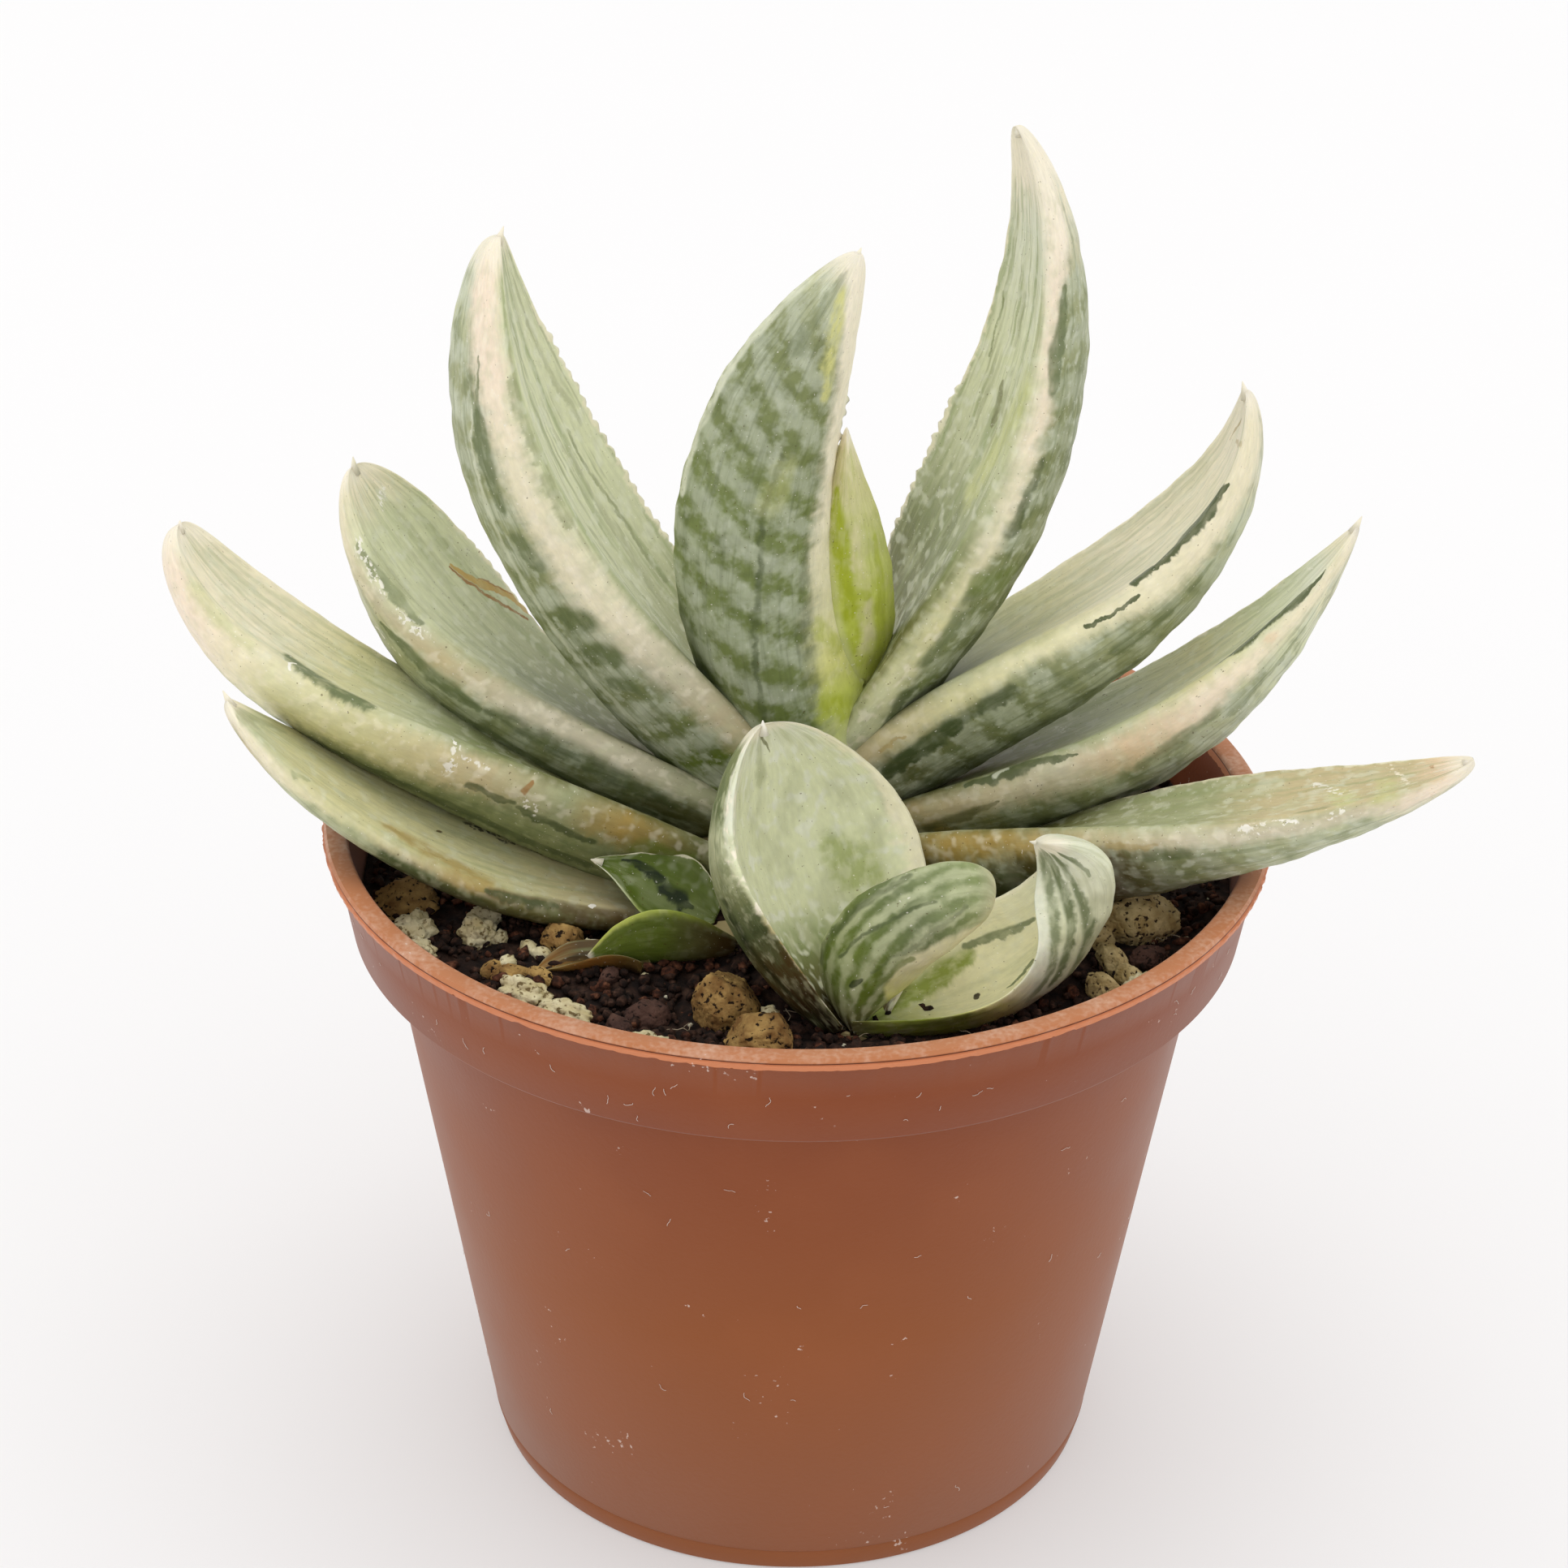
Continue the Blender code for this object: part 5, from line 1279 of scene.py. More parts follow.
def threads(name: str, lines: list, radius: float) -> bmesh.types.BMesh:
    """Turn lines of points to thin closed tubes.

    Args:
        name: A name for the curve they start from.
        lines: Lists of points in millimetres.
        radius: The tubes' radius.

    Returns:
        All the tubes in one bmesh.
    """
    curve = bpy.data.curves.new(name, "CURVE")
    curve.dimensions = "3D"
    curve.bevel_depth = radius * MM
    curve.bevel_resolution = 0
    curve.use_fill_caps = True
    for line in lines:
        spline = curve.splines.new("POLY")
        spline.points.add(len(line) - 1)
        for spot, point in zip(spline.points, line):
            spot.co = (point[0] * MM, point[1] * MM, point[2] * MM, 1.0)
    carrier = bpy.data.objects.new(name, curve)
    bpy.context.scene.collection.objects.link(carrier)
    mesh = bpy.data.meshes.new_from_object(carrier.evaluated_get(bpy.context.evaluated_depsgraph_get()))
    bm = bmesh.new()
    bm.from_mesh(mesh)
    bpy.data.objects.remove(carrier, do_unlink=True)
    bpy.data.meshes.remove(mesh)
    bmesh.ops.recalc_face_normals(bm, faces=bm.faces)
    return bm


@dataclass
class NurseryPot:
    """The injection-moulded pot of terracotta-coloured polypropylene."""

    height: float = 64.0
    base_radius: float = 28.1
    foot_radius: float = 28.6
    foot_height: float = 2.1
    body_top_radius: float = 37.0
    skirt_height: float = 54.5
    skirt_radius: float = 40.1
    skirt_top_radius: float = 41.6
    rim_radius: float = 42.4
    rim_inner_radius: float = 40.2
    wall: float = 1.1
    floor: float = 1.4
    steps: int = 720
    drain_count: int = 6
    drain_radius: float = 3.2
    drain_circle: float = 18.0
    plastic: MouldedPolypropylene = field(default_factory=MouldedPolypropylene)
    lint: DryFibre = DryFibre("white_lint", "#e9dcd2")
    lint_count: int = 130
    lint_radius: float = 0.02
    lint_seed: int = 5

    def outline(self) -> list[tuple[float, float]]:
        """Return radius and height pairs, from the underside's edge up and down to the inner floor."""
        top = self.height
        inner_ledge = self.skirt_height + self.wall
        low_inner = self.skirt_radius - self.wall
        return [
            (self.base_radius - 0.5, 0.0),
            (self.base_radius, 0.15),
            (self.foot_radius, self.foot_height - 0.1),
            (self.foot_radius - 0.12, self.foot_height + 0.15),
            (self.foot_radius + 0.05, self.foot_height + 0.4),
            (32.8, 28.5),
            (self.body_top_radius - 0.15, self.skirt_height - 0.9),
            (self.body_top_radius + 0.1, self.skirt_height - 0.3),
            (self.body_top_radius + 0.7, self.skirt_height),
            (self.skirt_radius - 0.25, self.skirt_height + 0.05),
            (self.skirt_radius, self.skirt_height + 0.35),
            (0.5 * (self.skirt_radius + self.skirt_top_radius), 0.5 * (self.skirt_height + top)),
            (self.skirt_top_radius, top - 1.3),
            (self.skirt_top_radius + 0.35, top - 1.12),
            (self.rim_radius - 0.05, top - 0.98),
            (self.rim_radius, top - 0.62),
            (self.rim_radius - 0.26, top - 0.52),
            (self.rim_radius - 0.26, top - 0.4),
            (self.rim_radius - 0.2, top - 0.28),
            (self.rim_radius - 0.42, top),
            (self.rim_inner_radius + 0.3, top),
            (self.rim_inner_radius, top - 0.25),
            (0.5 * (self.rim_inner_radius + low_inner), 0.5 * (top + inner_ledge)),
            (low_inner, inner_ledge + 0.2),
            (self.body_top_radius - self.wall, inner_ledge - 0.3),
            (self.base_radius - self.wall, self.floor),
        ]

    def mesh(self) -> bmesh.types.BMesh:
        """Spin the outline and tear the flash along the lip.

        Returns:
            The closed pot.
        """
        bm = bmesh.new()
        outline = self.outline()
        points = [(0.0, 0.0), *outline, (0.0, self.floor)]
        verts = [bm.verts.new((radius * MM, 0.0, height * MM)) for radius, height in points]
        edges = [bm.edges.new(pair) for pair in zip(verts, verts[1:])]
        bmesh.ops.spin(
            bm, geom=verts + edges, axis=(0.0, 0.0, 1.0), cent=(0.0, 0.0, 0.0),
            angle=2.0 * math.pi, steps=self.steps, use_merge=True,
        )
        bmesh.ops.remove_doubles(bm, verts=bm.verts, dist=1e-6)
        bmesh.ops.recalc_face_normals(bm, faces=bm.faces)
        self.tear_flash(bm)
        return bm

    def tear_flash(self, bm: bmesh.types.BMesh) -> None:
        """Make the moulding flash under the lip ragged."""
        for vert in bm.verts:
            radius = math.hypot(vert.co.x, vert.co.y) / MM
            height = vert.co.z / MM
            if radius < self.skirt_top_radius + 0.2 or not -1.2 < height - self.height < -0.55:
                continue
            way = Vector((vert.co.x, vert.co.y, 0.0)).normalized()
            tear = noise.noise(way * 35.0) + 0.8 * noise.noise(way * 120.0)
            vert.co += way * (min(0.0, tear * 0.22 - 0.06)) * MM
            if height < self.height - 0.7:
                vert.co.z += (tear * 0.22) * MM

    def lint_lines(self) -> list:
        """Return short crooked lines that lie on the outside of the skirt and the body."""
        draw = random.Random(self.lint_seed)
        slope = (self.body_top_radius - self.foot_radius) / (self.skirt_height - self.foot_height)
        flare = (self.skirt_top_radius - self.skirt_radius) / (self.height - self.skirt_height)
        made = []
        for index in range(self.lint_count):
            on_skirt = index % 3 < 2
            height = draw.uniform(55.8, 61.8) if on_skirt else draw.uniform(6.0, 52.0)
            angle = draw.uniform(0.0, 2.0 * math.pi)
            heading = draw.uniform(0.0, 2.0 * math.pi)
            line = []
            for _ in range(draw.randint(4, 8)):
                if on_skirt:
                    radius = self.skirt_radius + flare * (height - self.skirt_height)
                else:
                    radius = self.foot_radius + slope * (height - self.foot_height)
                radius += draw.uniform(0.0, 0.06)
                line.append((radius * math.cos(angle), radius * math.sin(angle), height))
                heading += draw.uniform(-0.9, 0.9)
                angle += 0.17 * math.cos(heading) / radius
                height += 0.17 * math.sin(heading)
            made.append(line)
        return made

    def build(self) -> bpy.types.Object:
        """Build the pot and return its object."""
        pot = new_piece("nursery_pot", self.mesh(), self.plastic.material(self.height))
        self.drill(pot)
        pot.data.set_sharp_from_angle(angle=math.radians(50.0))
        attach(pot, BODY)
        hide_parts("pot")
        lint = new_piece("pot_lint", threads("lint", self.lint_lines(), self.lint_radius), self.lint.material())
        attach(lint, BODY)
        LOG.info("%s: %d faces", pot.name, len(pot.data.polygons))
        return pot

    def drill(self, pot: bpy.types.Object) -> None:
        """Cut the ring of drain holes through the pot's floor."""
        bm = bmesh.new()
        for index in range(self.drain_count):
            angle = 2.0 * math.pi * index / self.drain_count
            centre = Vector((math.cos(angle), math.sin(angle), 0.0)) * self.drain_circle * MM
            bmesh.ops.create_cone(
                bm, cap_ends=True, segments=40, radius1=self.drain_radius * MM,
                radius2=self.drain_radius * MM, depth=4.0 * self.floor * MM,
                matrix=Matrix.Translation(centre),
            )
        bits = bpy.data.meshes.new("drills")
        bm.to_mesh(bits)
        bm.free()
        drills = bpy.data.objects.new("drills", bits)
        bpy.context.scene.collection.objects.link(drills)
        holes = pot.modifiers.new("drain_holes", "BOOLEAN")
        holes.operation = "DIFFERENCE"
        holes.solver = "EXACT"
        holes.object = drills
        depsgraph = bpy.context.evaluated_depsgraph_get()
        cut = bpy.data.meshes.new_from_object(pot.evaluated_get(depsgraph))
        pot.modifiers.clear()
        pot.data = cut
        bpy.data.objects.remove(drills, do_unlink=True)


class Grit(Enum):
    """Kinds of grain: pale tint, shade, pit tint, lump size and roughness of form, flat sides."""

    PERLITE = ("#e6dcb6", "#c2b384", "#7d6c48", 0.46, 0.5, 0)
    PUMICE = ("#b7955a", "#7f5d33", "#241609", 0.22, 0.1, 9)
    PALE_PUMICE = ("#d2bd8a", "#a78f5c", "#352516", 0.24, 0.12, 8)
    BARK = ("#5c4238", "#45302a", "#20130f", 0.5, 0.22, 6)


@dataclass(frozen=True)
class PorousStone:
    """Expanded volcanic grit, or bark: chalky, pitted and quite without gloss.

    The real grains broke open in the kiln or the ground. To the eye that gives a dull crumbly
    surface with dark pits and cracks that hold peat.
    """

    kind: Grit
    pit: float = 0.55
    patch: float = 1.8

    def material(self) -> bpy.types.Material:
        """Build the grain's material."""
        tint, shade, dark = (linear(colour) for colour in self.kind.value[:3])
        skin, tree, shader = new_material("porous_" + self.kind.name.lower())
        place = add(tree, "ShaderNodeTexCoord").outputs["Object"]
        patches = add(tree, "ShaderNodeTexNoise", {"Vector": place, "Scale": 1.0 / (self.patch * MM), "Detail": 3.0})
        blend = add(tree, "ShaderNodeMapRange", {0: patches.outputs[0], 1: 0.35, 2: 0.65})
        stone = add(tree, "ShaderNodeMix", {0: blend.outputs[0], 6: shade, 7: tint}, data_type="RGBA")
        pits = add(tree, "ShaderNodeTexNoise", {"Vector": place, "Scale": 1.0 / (self.pit * MM), "Detail": 5.0})
        open_pit = add(tree, "ShaderNodeMapRange", {0: pits.outputs[0], 1: 0.43, 2: 0.37})
        pitted = add(
            tree, "ShaderNodeMix", {0: open_pit.outputs[0], 6: stone.outputs[2], 7: dark}, data_type="RGBA"
        )
        tree.links.new(pitted.outputs[2], shader.inputs["Base Color"])
        relief = add(
            tree, "ShaderNodeBump", {"Strength": 0.9, "Distance": 0.35 * MM, "Height": pits.outputs[0]}
        )
        tree.links.new(relief.outputs[0], shader.inputs["Normal"])
        shader.inputs["Roughness"].default_value = 0.95
        shader.inputs["Specular IOR Level"].default_value = 0.25
        return skin


@dataclass(frozen=True)
class DampPeat:
    """Damp sphagnum peat: near-black fibre and crumbs, quite without gloss."""

    name: str
    dark: str
    mid: str
    light: str
    crumb: float = 1.2

    def material(self) -> bpy.types.Material:
        """Build the peat's material."""
        skin, tree, shader = new_material(self.name)
        place = add(tree, "ShaderNodeTexCoord").outputs["Object"]
        crumbs = add(tree, "ShaderNodeTexNoise", {"Vector": place, "Scale": 1.0 / (self.crumb * MM), "Detail": 6.0})
        shades = add(tree, "ShaderNodeValToRGB", {0: crumbs.outputs[0]})
        shades.color_ramp.elements[0].position = 0.4
        shades.color_ramp.elements[0].color = linear(self.dark)
        shades.color_ramp.elements[1].position = 0.72
        shades.color_ramp.elements[1].color = linear(self.light)
        shades.color_ramp.elements.new(0.56).color = linear(self.mid)
        tree.links.new(shades.outputs[0], shader.inputs["Base Color"])
        relief = add(
            tree, "ShaderNodeBump", {"Strength": 0.9, "Distance": 0.4 * MM, "Height": crumbs.outputs[0]}
        )
        tree.links.new(relief.outputs[0], shader.inputs["Normal"])
        shader.inputs["Roughness"].default_value = 0.92
        shader.inputs["Specular IOR Level"].default_value = 0.25
        return skin


@dataclass(frozen=True)
class Grain:
    """One grain that lies on the peat."""

    x: float
    y: float
    radius: float
    kind: Grit
    sunk: float = 0.1
    stretch: tuple = (1.0, 0.85, 0.8)
    turn: float = 0.0


GRAINS = (
    Grain(-34.6, -7.0, 2.9, Grit.PUMICE, 0.25, (1.0, 0.9, 0.7), 0.3),
    Grain(-33.6, -12.6, 2.1, Grit.PERLITE, 0.1, (1.1, 0.9, 0.8), 0.9),
    Grain(-32.6, -15.6, 1.4, Grit.PERLITE, 0.1, (1.2, 0.8, 0.8), 2.2),
    Grain(-27.9, -12.6, 1.7, Grit.PERLITE, 0.0, (1.0, 0.95, 0.95), 0.2),
    Grain(-27.4, -9.2, 1.3, Grit.PERLITE, 0.1, (1.3, 0.8, 0.8), 0.1),
    Grain(-25.9, -12.8, 0.8, Grit.PERLITE, 0.0, (0.9, 0.8, 1.1), 0.5),
    Grain(-23.3, -14.8, 0.9, Grit.PERLITE, 0.0, (0.8, 1.2, 0.8), 0.3),
    Grain(-22.2, -15.6, 0.9, Grit.PERLITE, 0.1, (1.2, 0.8, 0.7), 2.8),
    Grain(-20.3, -13.6, 2.0, Grit.PUMICE, 0.1, (1.0, 0.9, 1.0), 0.4),
    Grain(-18.2, -14.2, 0.8, Grit.PERLITE, 0.0, (0.8, 0.8, 1.3), 0.4),
    Grain(-24.9, -18.0, 0.9, Grit.PERLITE, 0.0, (1.0, 0.9, 0.9), 0.4),
    Grain(-26.2, -18.6, 1.2, Grit.PUMICE, 0.2, (1.0, 0.8, 0.8), 0.8),
    Grain(-24.4, -20.0, 1.5, Grit.PUMICE, 0.2, (1.3, 0.7, 0.7), 0.2),
    Grain(-22.2, -20.0, 1.4, Grit.PUMICE, 0.2, (1.1, 0.7, 0.8), 2.6),
    Grain(-23.2, -23.0, 2.1, Grit.PERLITE, 0.3, (1.3, 0.8, 0.7), 2.5),
    Grain(-19.8, -25.6, 2.2, Grit.PERLITE, 0.3, (1.4, 0.7, 0.7), 2.6),
    Grain(-12.8, -29.6, 1.1, Grit.PERLITE, 0.1, (1.2, 0.9, 0.8), 0.2),
    Grain(-11.2, -30.1, 1.0, Grit.PERLITE, 0.2, (1.0, 0.9, 0.7), 0.4),
    Grain(-5.9, -25.0, 3.2, Grit.PUMICE, -0.2, (0.95, 0.9, 0.95), 0.3),
    Grain(-2.9, -30.2, 3.0, Grit.PUMICE, 0.1, (1.15, 0.85, 0.75), 0.1),
    Grain(-2.2, -26.4, 1.2, Grit.PERLITE, -0.4, (0.8, 0.8, 1.2), 0.1),
    Grain(-30.0, -21.2, 1.2, Grit.BARK, 0.1, (1.1, 0.8, 0.7), 0.4),
    Grain(-15.0, -27.5, 1.6, Grit.BARK, 0.1, (0.7, 1.2, 0.7), 0.4),
    Grain(-12.5, -24.5, 1.9, Grit.BARK, 0.2, (1.1, 0.9, 0.8), 0.4),
    Grain(29.9, -10.8, 3.3, Grit.PALE_PUMICE, -0.1, (1.25, 0.85, 0.8), 0.1),
    Grain(26.4, -12.2, 1.6, Grit.PALE_PUMICE, 0.0, (1.0, 1.0, 1.0), 0.7),
    Grain(27.4, -16.0, 1.7, Grit.PALE_PUMICE, 0.0, (0.7, 1.4, 0.9), 0.5),
    Grain(28.8, -19.0, 1.5, Grit.PALE_PUMICE, 0.1, (0.7, 1.5, 0.9), 0.6),
    Grain(26.4, -20.6, 1.6, Grit.PALE_PUMICE, 0.0, (0.8, 1.2, 0.9), 0.9),
    Grain(26.2, -24.6, 1.6, Grit.PERLITE, 0.1, (1.3, 0.8, 0.8), 0.6),
    Grain(29.4, -20.6, 1.5, Grit.PERLITE, 0.1, (1.2, 0.8, 0.8), 0.8),
    Grain(30.6, -15.6, 1.6, Grit.BARK, 0.1, (1.1, 0.8, 0.8), 0.4),
    Grain(33.0, -16.6, 1.4, Grit.BARK, 0.1, (0.9, 0.9, 0.8), 0.4),
)


@dataclass(frozen=True)
class Crumbs:
    """One sort of small crumb: how many, their radius from and to, and their finish."""

    name: str
    count: int
    low: float
    high: float
    finish: DampPeat | DryFibre


CRUMBS = (
    Crumbs("peat_crumbs", 4200, 0.15, 0.6, DampPeat("crumbled_peat", "#1c120e", "#38241b", "#5a4033", 0.7)),
    Crumbs("bark_crumbs", 1000, 0.2, 0.7, DampPeat("red_bark_crumbs", "#2e180f", "#573222", "#7e543c", 0.6)),
    Crumbs("perlite_dust", 110, 0.12, 0.32, DryFibre("perlite_dust", "#cfc9b0")),
)


@dataclass
class PottingMix:
    """Peat with grains of perlite, pumice and bark on it, crumbs and a few loose fibres."""

    level: float = 57.2
    relief: float = 1.1
    relief_spacing: float = 7.0
    pot: NurseryPot = field(default_factory=NurseryPot)
    gap: float = 0.35
    sides: int = 200
    ring_step: float = 0.75
    seed: int = 11
    extra_grains: int = 26
    peat: DampPeat = DampPeat("damp_sphagnum_peat", "#150d0a", "#2c1c15", "#4a352a")
    fibre_count: int = 46
    fibre_radius: float = 0.045
    fibre: DryFibre = DryFibre("dry_root_hair", "#a8987e")

    def height_at(self, x: float, y: float) -> float:
        """Return the height of the broad relief of the peat, as the CAD node has it."""
        return self.level + self.relief * noise.noise(Vector((x, y, 0.0)) / self.relief_spacing)

    def bed(self) -> bmesh.types.BMesh:
        """Spin the bed of peat and roughen its top.

        Returns:
            The closed bed.
        """
        pot = self.pot
        ledge = pot.skirt_height + pot.wall
        foot = pot.floor + self.gap
        low = pot.skirt_radius - pot.wall
        share = (self.level - pot.skirt_height) / (pot.height - pot.skirt_height)
        edge = low + (pot.rim_inner_radius - low) * share - self.gap
        rings = [edge - 0.3 - self.ring_step * step for step in range(int((edge - 1.0) / self.ring_step))]
        outline = [
            (0.0, foot),
            (pot.base_radius - pot.wall - self.gap, foot),
            (pot.body_top_radius - pot.wall - self.gap, ledge + self.gap),
            (low - self.gap, ledge + self.gap),
            (edge, self.level - 0.3),
            *((radius, self.level) for radius in rings),
            (0.0, self.level),
        ]
        bm = bmesh.new()
        verts = [bm.verts.new((radius * MM, 0.0, height * MM)) for radius, height in outline]
        edges = [bm.edges.new(pair) for pair in zip(verts, verts[1:])]
        bmesh.ops.spin(
            bm, geom=verts + edges, axis=(0.0, 0.0, 1.0), cent=(0.0, 0.0, 0.0),
            angle=2.0 * math.pi, steps=self.sides, use_merge=True,
        )
        bmesh.ops.remove_doubles(bm, verts=bm.verts, dist=1e-6)
        bmesh.ops.recalc_face_normals(bm, faces=bm.faces)
        for vert in bm.verts:
            if vert.co.z < (self.level - 0.4) * MM:
                continue
            spot = vert.co / MM
            height = self.height_at(spot.x, spot.y)
            lumps = noise.noise(spot / 1.6) * 0.55 + noise.noise(spot / 0.7) * 0.35
            vert.co.z = (height + lumps) * MM
        return bm

    def grain_mesh(self, bm: bmesh.types.BMesh, grain: Grain, base: float, fineness: int) -> None:
        """Add one rough grain to a bmesh.

        Args:
            bm: The bmesh that gets it.
            grain: The grain.
            base: Height of the peat there.
            fineness: Subdivisions of the ball it starts from.
        """
        made = bmesh.ops.create_icosphere(bm, subdivisions=fineness, radius=grain.radius)
        lump, rough, sides = grain.kind.value[3:]
        draw = random.Random(round(100.0 * (grain.x + 2.0 * grain.y)))
        cuts = [
            (Vector((draw.gauss(0.0, 1.0), draw.gauss(0.0, 1.0), draw.gauss(0.0, 1.0))).normalized(),
             draw.uniform(0.7, 0.9))
            for _ in range(sides)
        ]
        turn = Matrix.Rotation(grain.turn, 3, "Z") @ Matrix.Diagonal(grain.stretch)
        offset = Vector((grain.x * 1.7, grain.y * 1.3, grain.radius * 5.0))
        centre = Vector((grain.x, grain.y, base + grain.radius * (0.35 - grain.sunk)))
        for vert in made["verts"]:
            way = vert.co.normalized()
            spot = way / lump + offset
            near = noise.voronoi(spot * 0.9)[0][0]
            swell = 1.0 + rough * (0.45 - near) + 0.12 * noise.noise(spot * 0.7) + 0.05 * noise.noise(spot * 3.1)
            for side, reach in cuts:
                facing = way.dot(side)
                if facing > 0.3:
                    swell = min(swell, reach / facing + 0.06 * noise.noise(spot * 2.3))
            vert.co = (centre + turn @ (vert.co * swell)) * MM

    def seeded_grains(self) -> list[Grain]:
        """Return small grains strewn where the listed ones leave room."""
        draw = random.Random(self.seed)
        made: list[Grain] = []
        while len(made) < self.extra_grains:
            angle = draw.uniform(0.0, 2.0 * math.pi)
            reach = draw.uniform(14.0, 36.5)
            x, y = reach * math.cos(angle), reach * math.sin(angle)
            radius = draw.uniform(0.5, 1.3)
            kind = draw.choice((Grit.PERLITE, Grit.PUMICE, Grit.BARK, Grit.BARK))
            seen_front = y < -6.0
            if seen_front and kind is not Grit.BARK:
                radius = 0.45
            if all(math.hypot(x - o.x, y - o.y) > radius + o.radius for o in (*GRAINS, *made)):
                made.append(Grain(x, y, radius, kind, 0.1, (1.0, 0.8, 0.8), angle))
        return made

    def crumbs(self, sort: Crumbs) -> bmesh.types.BMesh:
        """Strew one sort of small crumb, each of a few faces.

        Args:
            sort: The sort of crumb.

        Returns:
            All crumbs in one bmesh.
        """
        draw = random.Random(self.seed + sort.count)
        bm = bmesh.new()
        for _ in range(sort.count):
            angle = draw.uniform(0.0, 2.0 * math.pi)
            reach = 38.2 * math.sqrt(draw.uniform(0.08, 1.0))
            radius = draw.uniform(sort.low, sort.high)
            x, y = reach * math.cos(angle), reach * math.sin(angle)
            made = bmesh.ops.create_icosphere(bm, subdivisions=1, radius=radius)
            turn = Matrix.Rotation(draw.uniform(0.0, 6.28), 3, "Z") @ Matrix.Rotation(draw.uniform(0.0, 3.1), 3, "X")
            stretch = Matrix.Diagonal((draw.uniform(0.7, 1.7), draw.uniform(0.6, 1.1), draw.uniform(0.6, 1.0)))
            centre = Vector((x, y, self.height_at(x, y) + radius * 0.45 + draw.uniform(-0.2, 0.35)))
            for vert in made["verts"]:
                shaken = vert.co * draw.uniform(0.75, 1.2)
                vert.co = (centre + turn @ (stretch @ shaken)) * MM
        return bm

    def fibre_lines(self) -> list:
        """Return crooked lines that lie on the peat."""
        draw = random.Random(self.seed + 3)
        made = []
        for _ in range(self.fibre_count):
            angle = draw.uniform(0.0, 2.0 * math.pi)
            reach = draw.uniform(15.0, 37.0)
            x, y = reach * math.cos(angle), reach * math.sin(angle)
            heading = draw.uniform(0.0, 2.0 * math.pi)
            line = []
            for _ in range(draw.randint(5, 9)):
                line.append((x, y, self.height_at(x, y) + draw.uniform(0.3, 0.9)))
                heading += draw.uniform(-0.8, 0.8)
                x += 0.5 * math.cos(heading)
                y += 0.5 * math.sin(heading)
            if max(math.hypot(spot[0], spot[1]) for spot in line) < 37.8:
                made.append(line)
        return made

    def build(self) -> list[bpy.types.Object]:
        """Build the bed, its crumbs, its grains and its fibres.

        Returns:
            The objects.
        """
        made = [new_piece("peat_bed", self.bed(), self.peat.material())]
        for sort in CRUMBS:
            made.append(new_piece(sort.name, self.crumbs(sort), sort.finish.material()))
        every = (*GRAINS, *self.seeded_grains())
        for kind in Grit:
            bm = bmesh.new()
            for grain in every:
                if grain.kind is kind:
                    fineness = 5 if grain.radius > 1.3 else 3
                    self.grain_mesh(bm, grain, self.height_at(grain.x, grain.y), fineness)
            made.append(new_piece(kind.name.lower() + "_grains", bm, PorousStone(kind).material()))
        hairs = threads("root_hairs", self.fibre_lines(), self.fibre_radius)
        made.append(new_piece("root_hairs", hairs, self.fibre.material()))
        for piece in made:
            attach(piece, BODY)
            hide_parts("soil")
            LOG.info("%s: %d faces", piece.name, len(piece.data.polygons))
        return made


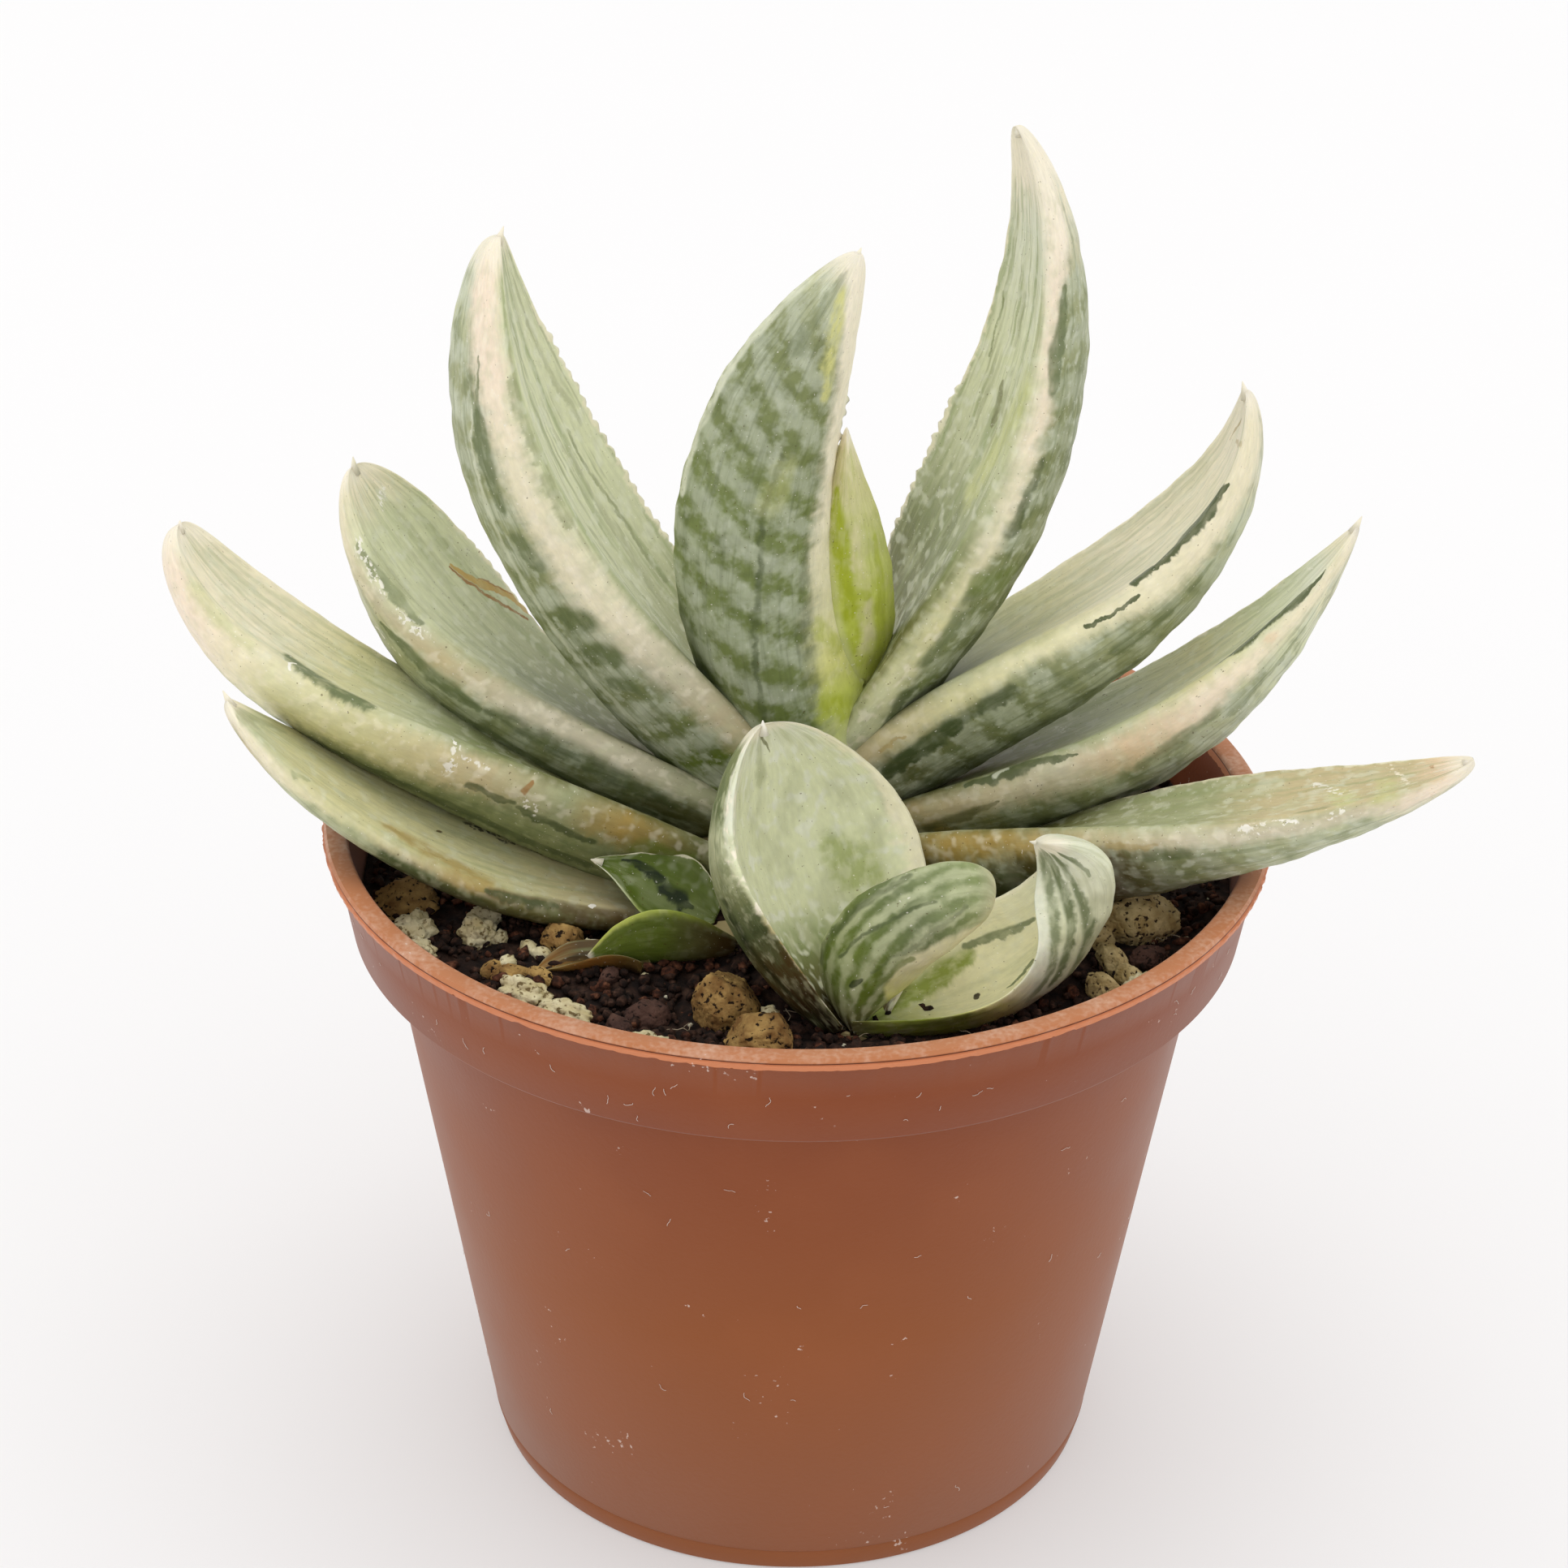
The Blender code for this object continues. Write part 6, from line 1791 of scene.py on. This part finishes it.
@dataclass
class Studio:
    """A pale back-lit floor, soft light and the camera."""

    camera_place: tuple = (-1.2, -312.5, 238.2)
    camera_target: tuple = (-1.225, 0.0, 66.1)
    camera_roll: float = 0.636
    lens: float = 91.7
    sensor: float = 36.0
    floor_size: float = 6000.0
    floor_tint: str = "#cbcaca"
    floor_glow: float = 0.3
    sky: float = 1.02
    lamp_place: tuple = (-60.0, 150.0, 1400.0)
    lamp_size: float = 900.0
    lamp_power: float = 3.1

    def floor(self) -> bpy.types.Object:
        """Lay the floor, a matt white acrylic sheet lit from behind.

        Its back light gives the eye a floor that is nearly white, with pale soft shadows.

        Returns:
            The floor object.
        """
        sheet, tree, shader = new_material("back_lit_acrylic")
        place = add(tree, "ShaderNodeTexCoord").outputs["Object"]
        cloud = add(tree, "ShaderNodeTexNoise", {"Vector": place, "Scale": 1.0 / (40.0 * MM), "Detail": 3.0})
        shade = add(tree, "ShaderNodeMapRange", {0: cloud.outputs[0], 3: 0.99, 4: 1.0})
        toned = add(
            tree, "ShaderNodeHueSaturation", {"Value": shade.outputs[0], "Color": linear(self.floor_tint)}
        )
        tree.links.new(toned.outputs[0], shader.inputs["Base Color"])
        shader.inputs["Roughness"].default_value = 0.85
        shader.inputs["Specular IOR Level"].default_value = 0.2
        shader.inputs["Emission Color"].default_value = linear("#ffffff")
        shader.inputs["Emission Strength"].default_value = self.floor_glow
        bm = bmesh.new()
        bmesh.ops.create_grid(bm, x_segments=4, y_segments=4, size=0.5 * self.floor_size * MM)
        bmesh.ops.translate(bm, verts=bm.verts, vec=(0.0, 0.0, -0.05 * MM))
        made = new_piece("floor", bm, sheet)
        return made

    def lamp(self) -> None:
        """Hang the soft box over the plant."""
        light = bpy.data.lights.new("top_softbox", "AREA")
        light.shape = "SQUARE"
        light.size = self.lamp_size * MM
        light.energy = self.lamp_power
        lamp = bpy.data.objects.new("top_softbox", light)
        spot = Vector(self.lamp_place) * MM
        aim = Vector((0.0, 0.0, 60.0)) * MM - spot
        lamp.matrix_world = Matrix.Translation(spot) @ aim.to_track_quat("-Z", "Y").to_matrix().to_4x4()
        bpy.context.scene.collection.objects.link(lamp)

    def camera(self) -> None:
        """Set up the camera where the photographer stood."""
        lens = bpy.data.cameras.new("camera")
        lens.lens = self.lens
        lens.sensor_width = self.sensor
        lens.clip_start = 0.01
        lens.clip_end = 20.0
        made = bpy.data.objects.new("camera", lens)
        forward = (Vector(self.camera_target) - Vector(self.camera_place)).normalized()
        level = Vector((1.0, 0.0, 0.0))
        over = level.cross(forward)
        roll = math.radians(self.camera_roll)
        right = level * math.cos(roll) + over * math.sin(roll)
        up = over * math.cos(roll) - level * math.sin(roll)
        turn = Matrix((right, up, -forward)).transposed().to_4x4()
        made.matrix_world = Matrix.Translation(Vector(self.camera_place) * MM) @ turn
        bpy.context.scene.collection.objects.link(made)
        bpy.context.scene.camera = made

    def build(self) -> None:
        """Build the whole studio."""
        scene = bpy.context.scene
        scene.view_settings.view_transform = "Standard"
        scene.view_settings.look = "None"
        world = bpy.data.worlds.new("white_tent")
        world.use_nodes = True
        sky = world.node_tree.nodes["Background"]
        sky.inputs["Color"].default_value = linear("#ffffff")
        sky.inputs["Strength"].default_value = self.sky
        scene.world = world
        self.floor()
        self.lamp()
        self.camera()


def main() -> None:
    """Build the studio, the pot, the potting mix and the plant in turn."""
    logging.basicConfig(level=logging.INFO, format="%(message)s")
    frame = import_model()
    Studio().build()
    NurseryPot().build()
    PottingMix().build()
    Plant().build(frame["nodes"])


if __name__ == "__main__":
    main()
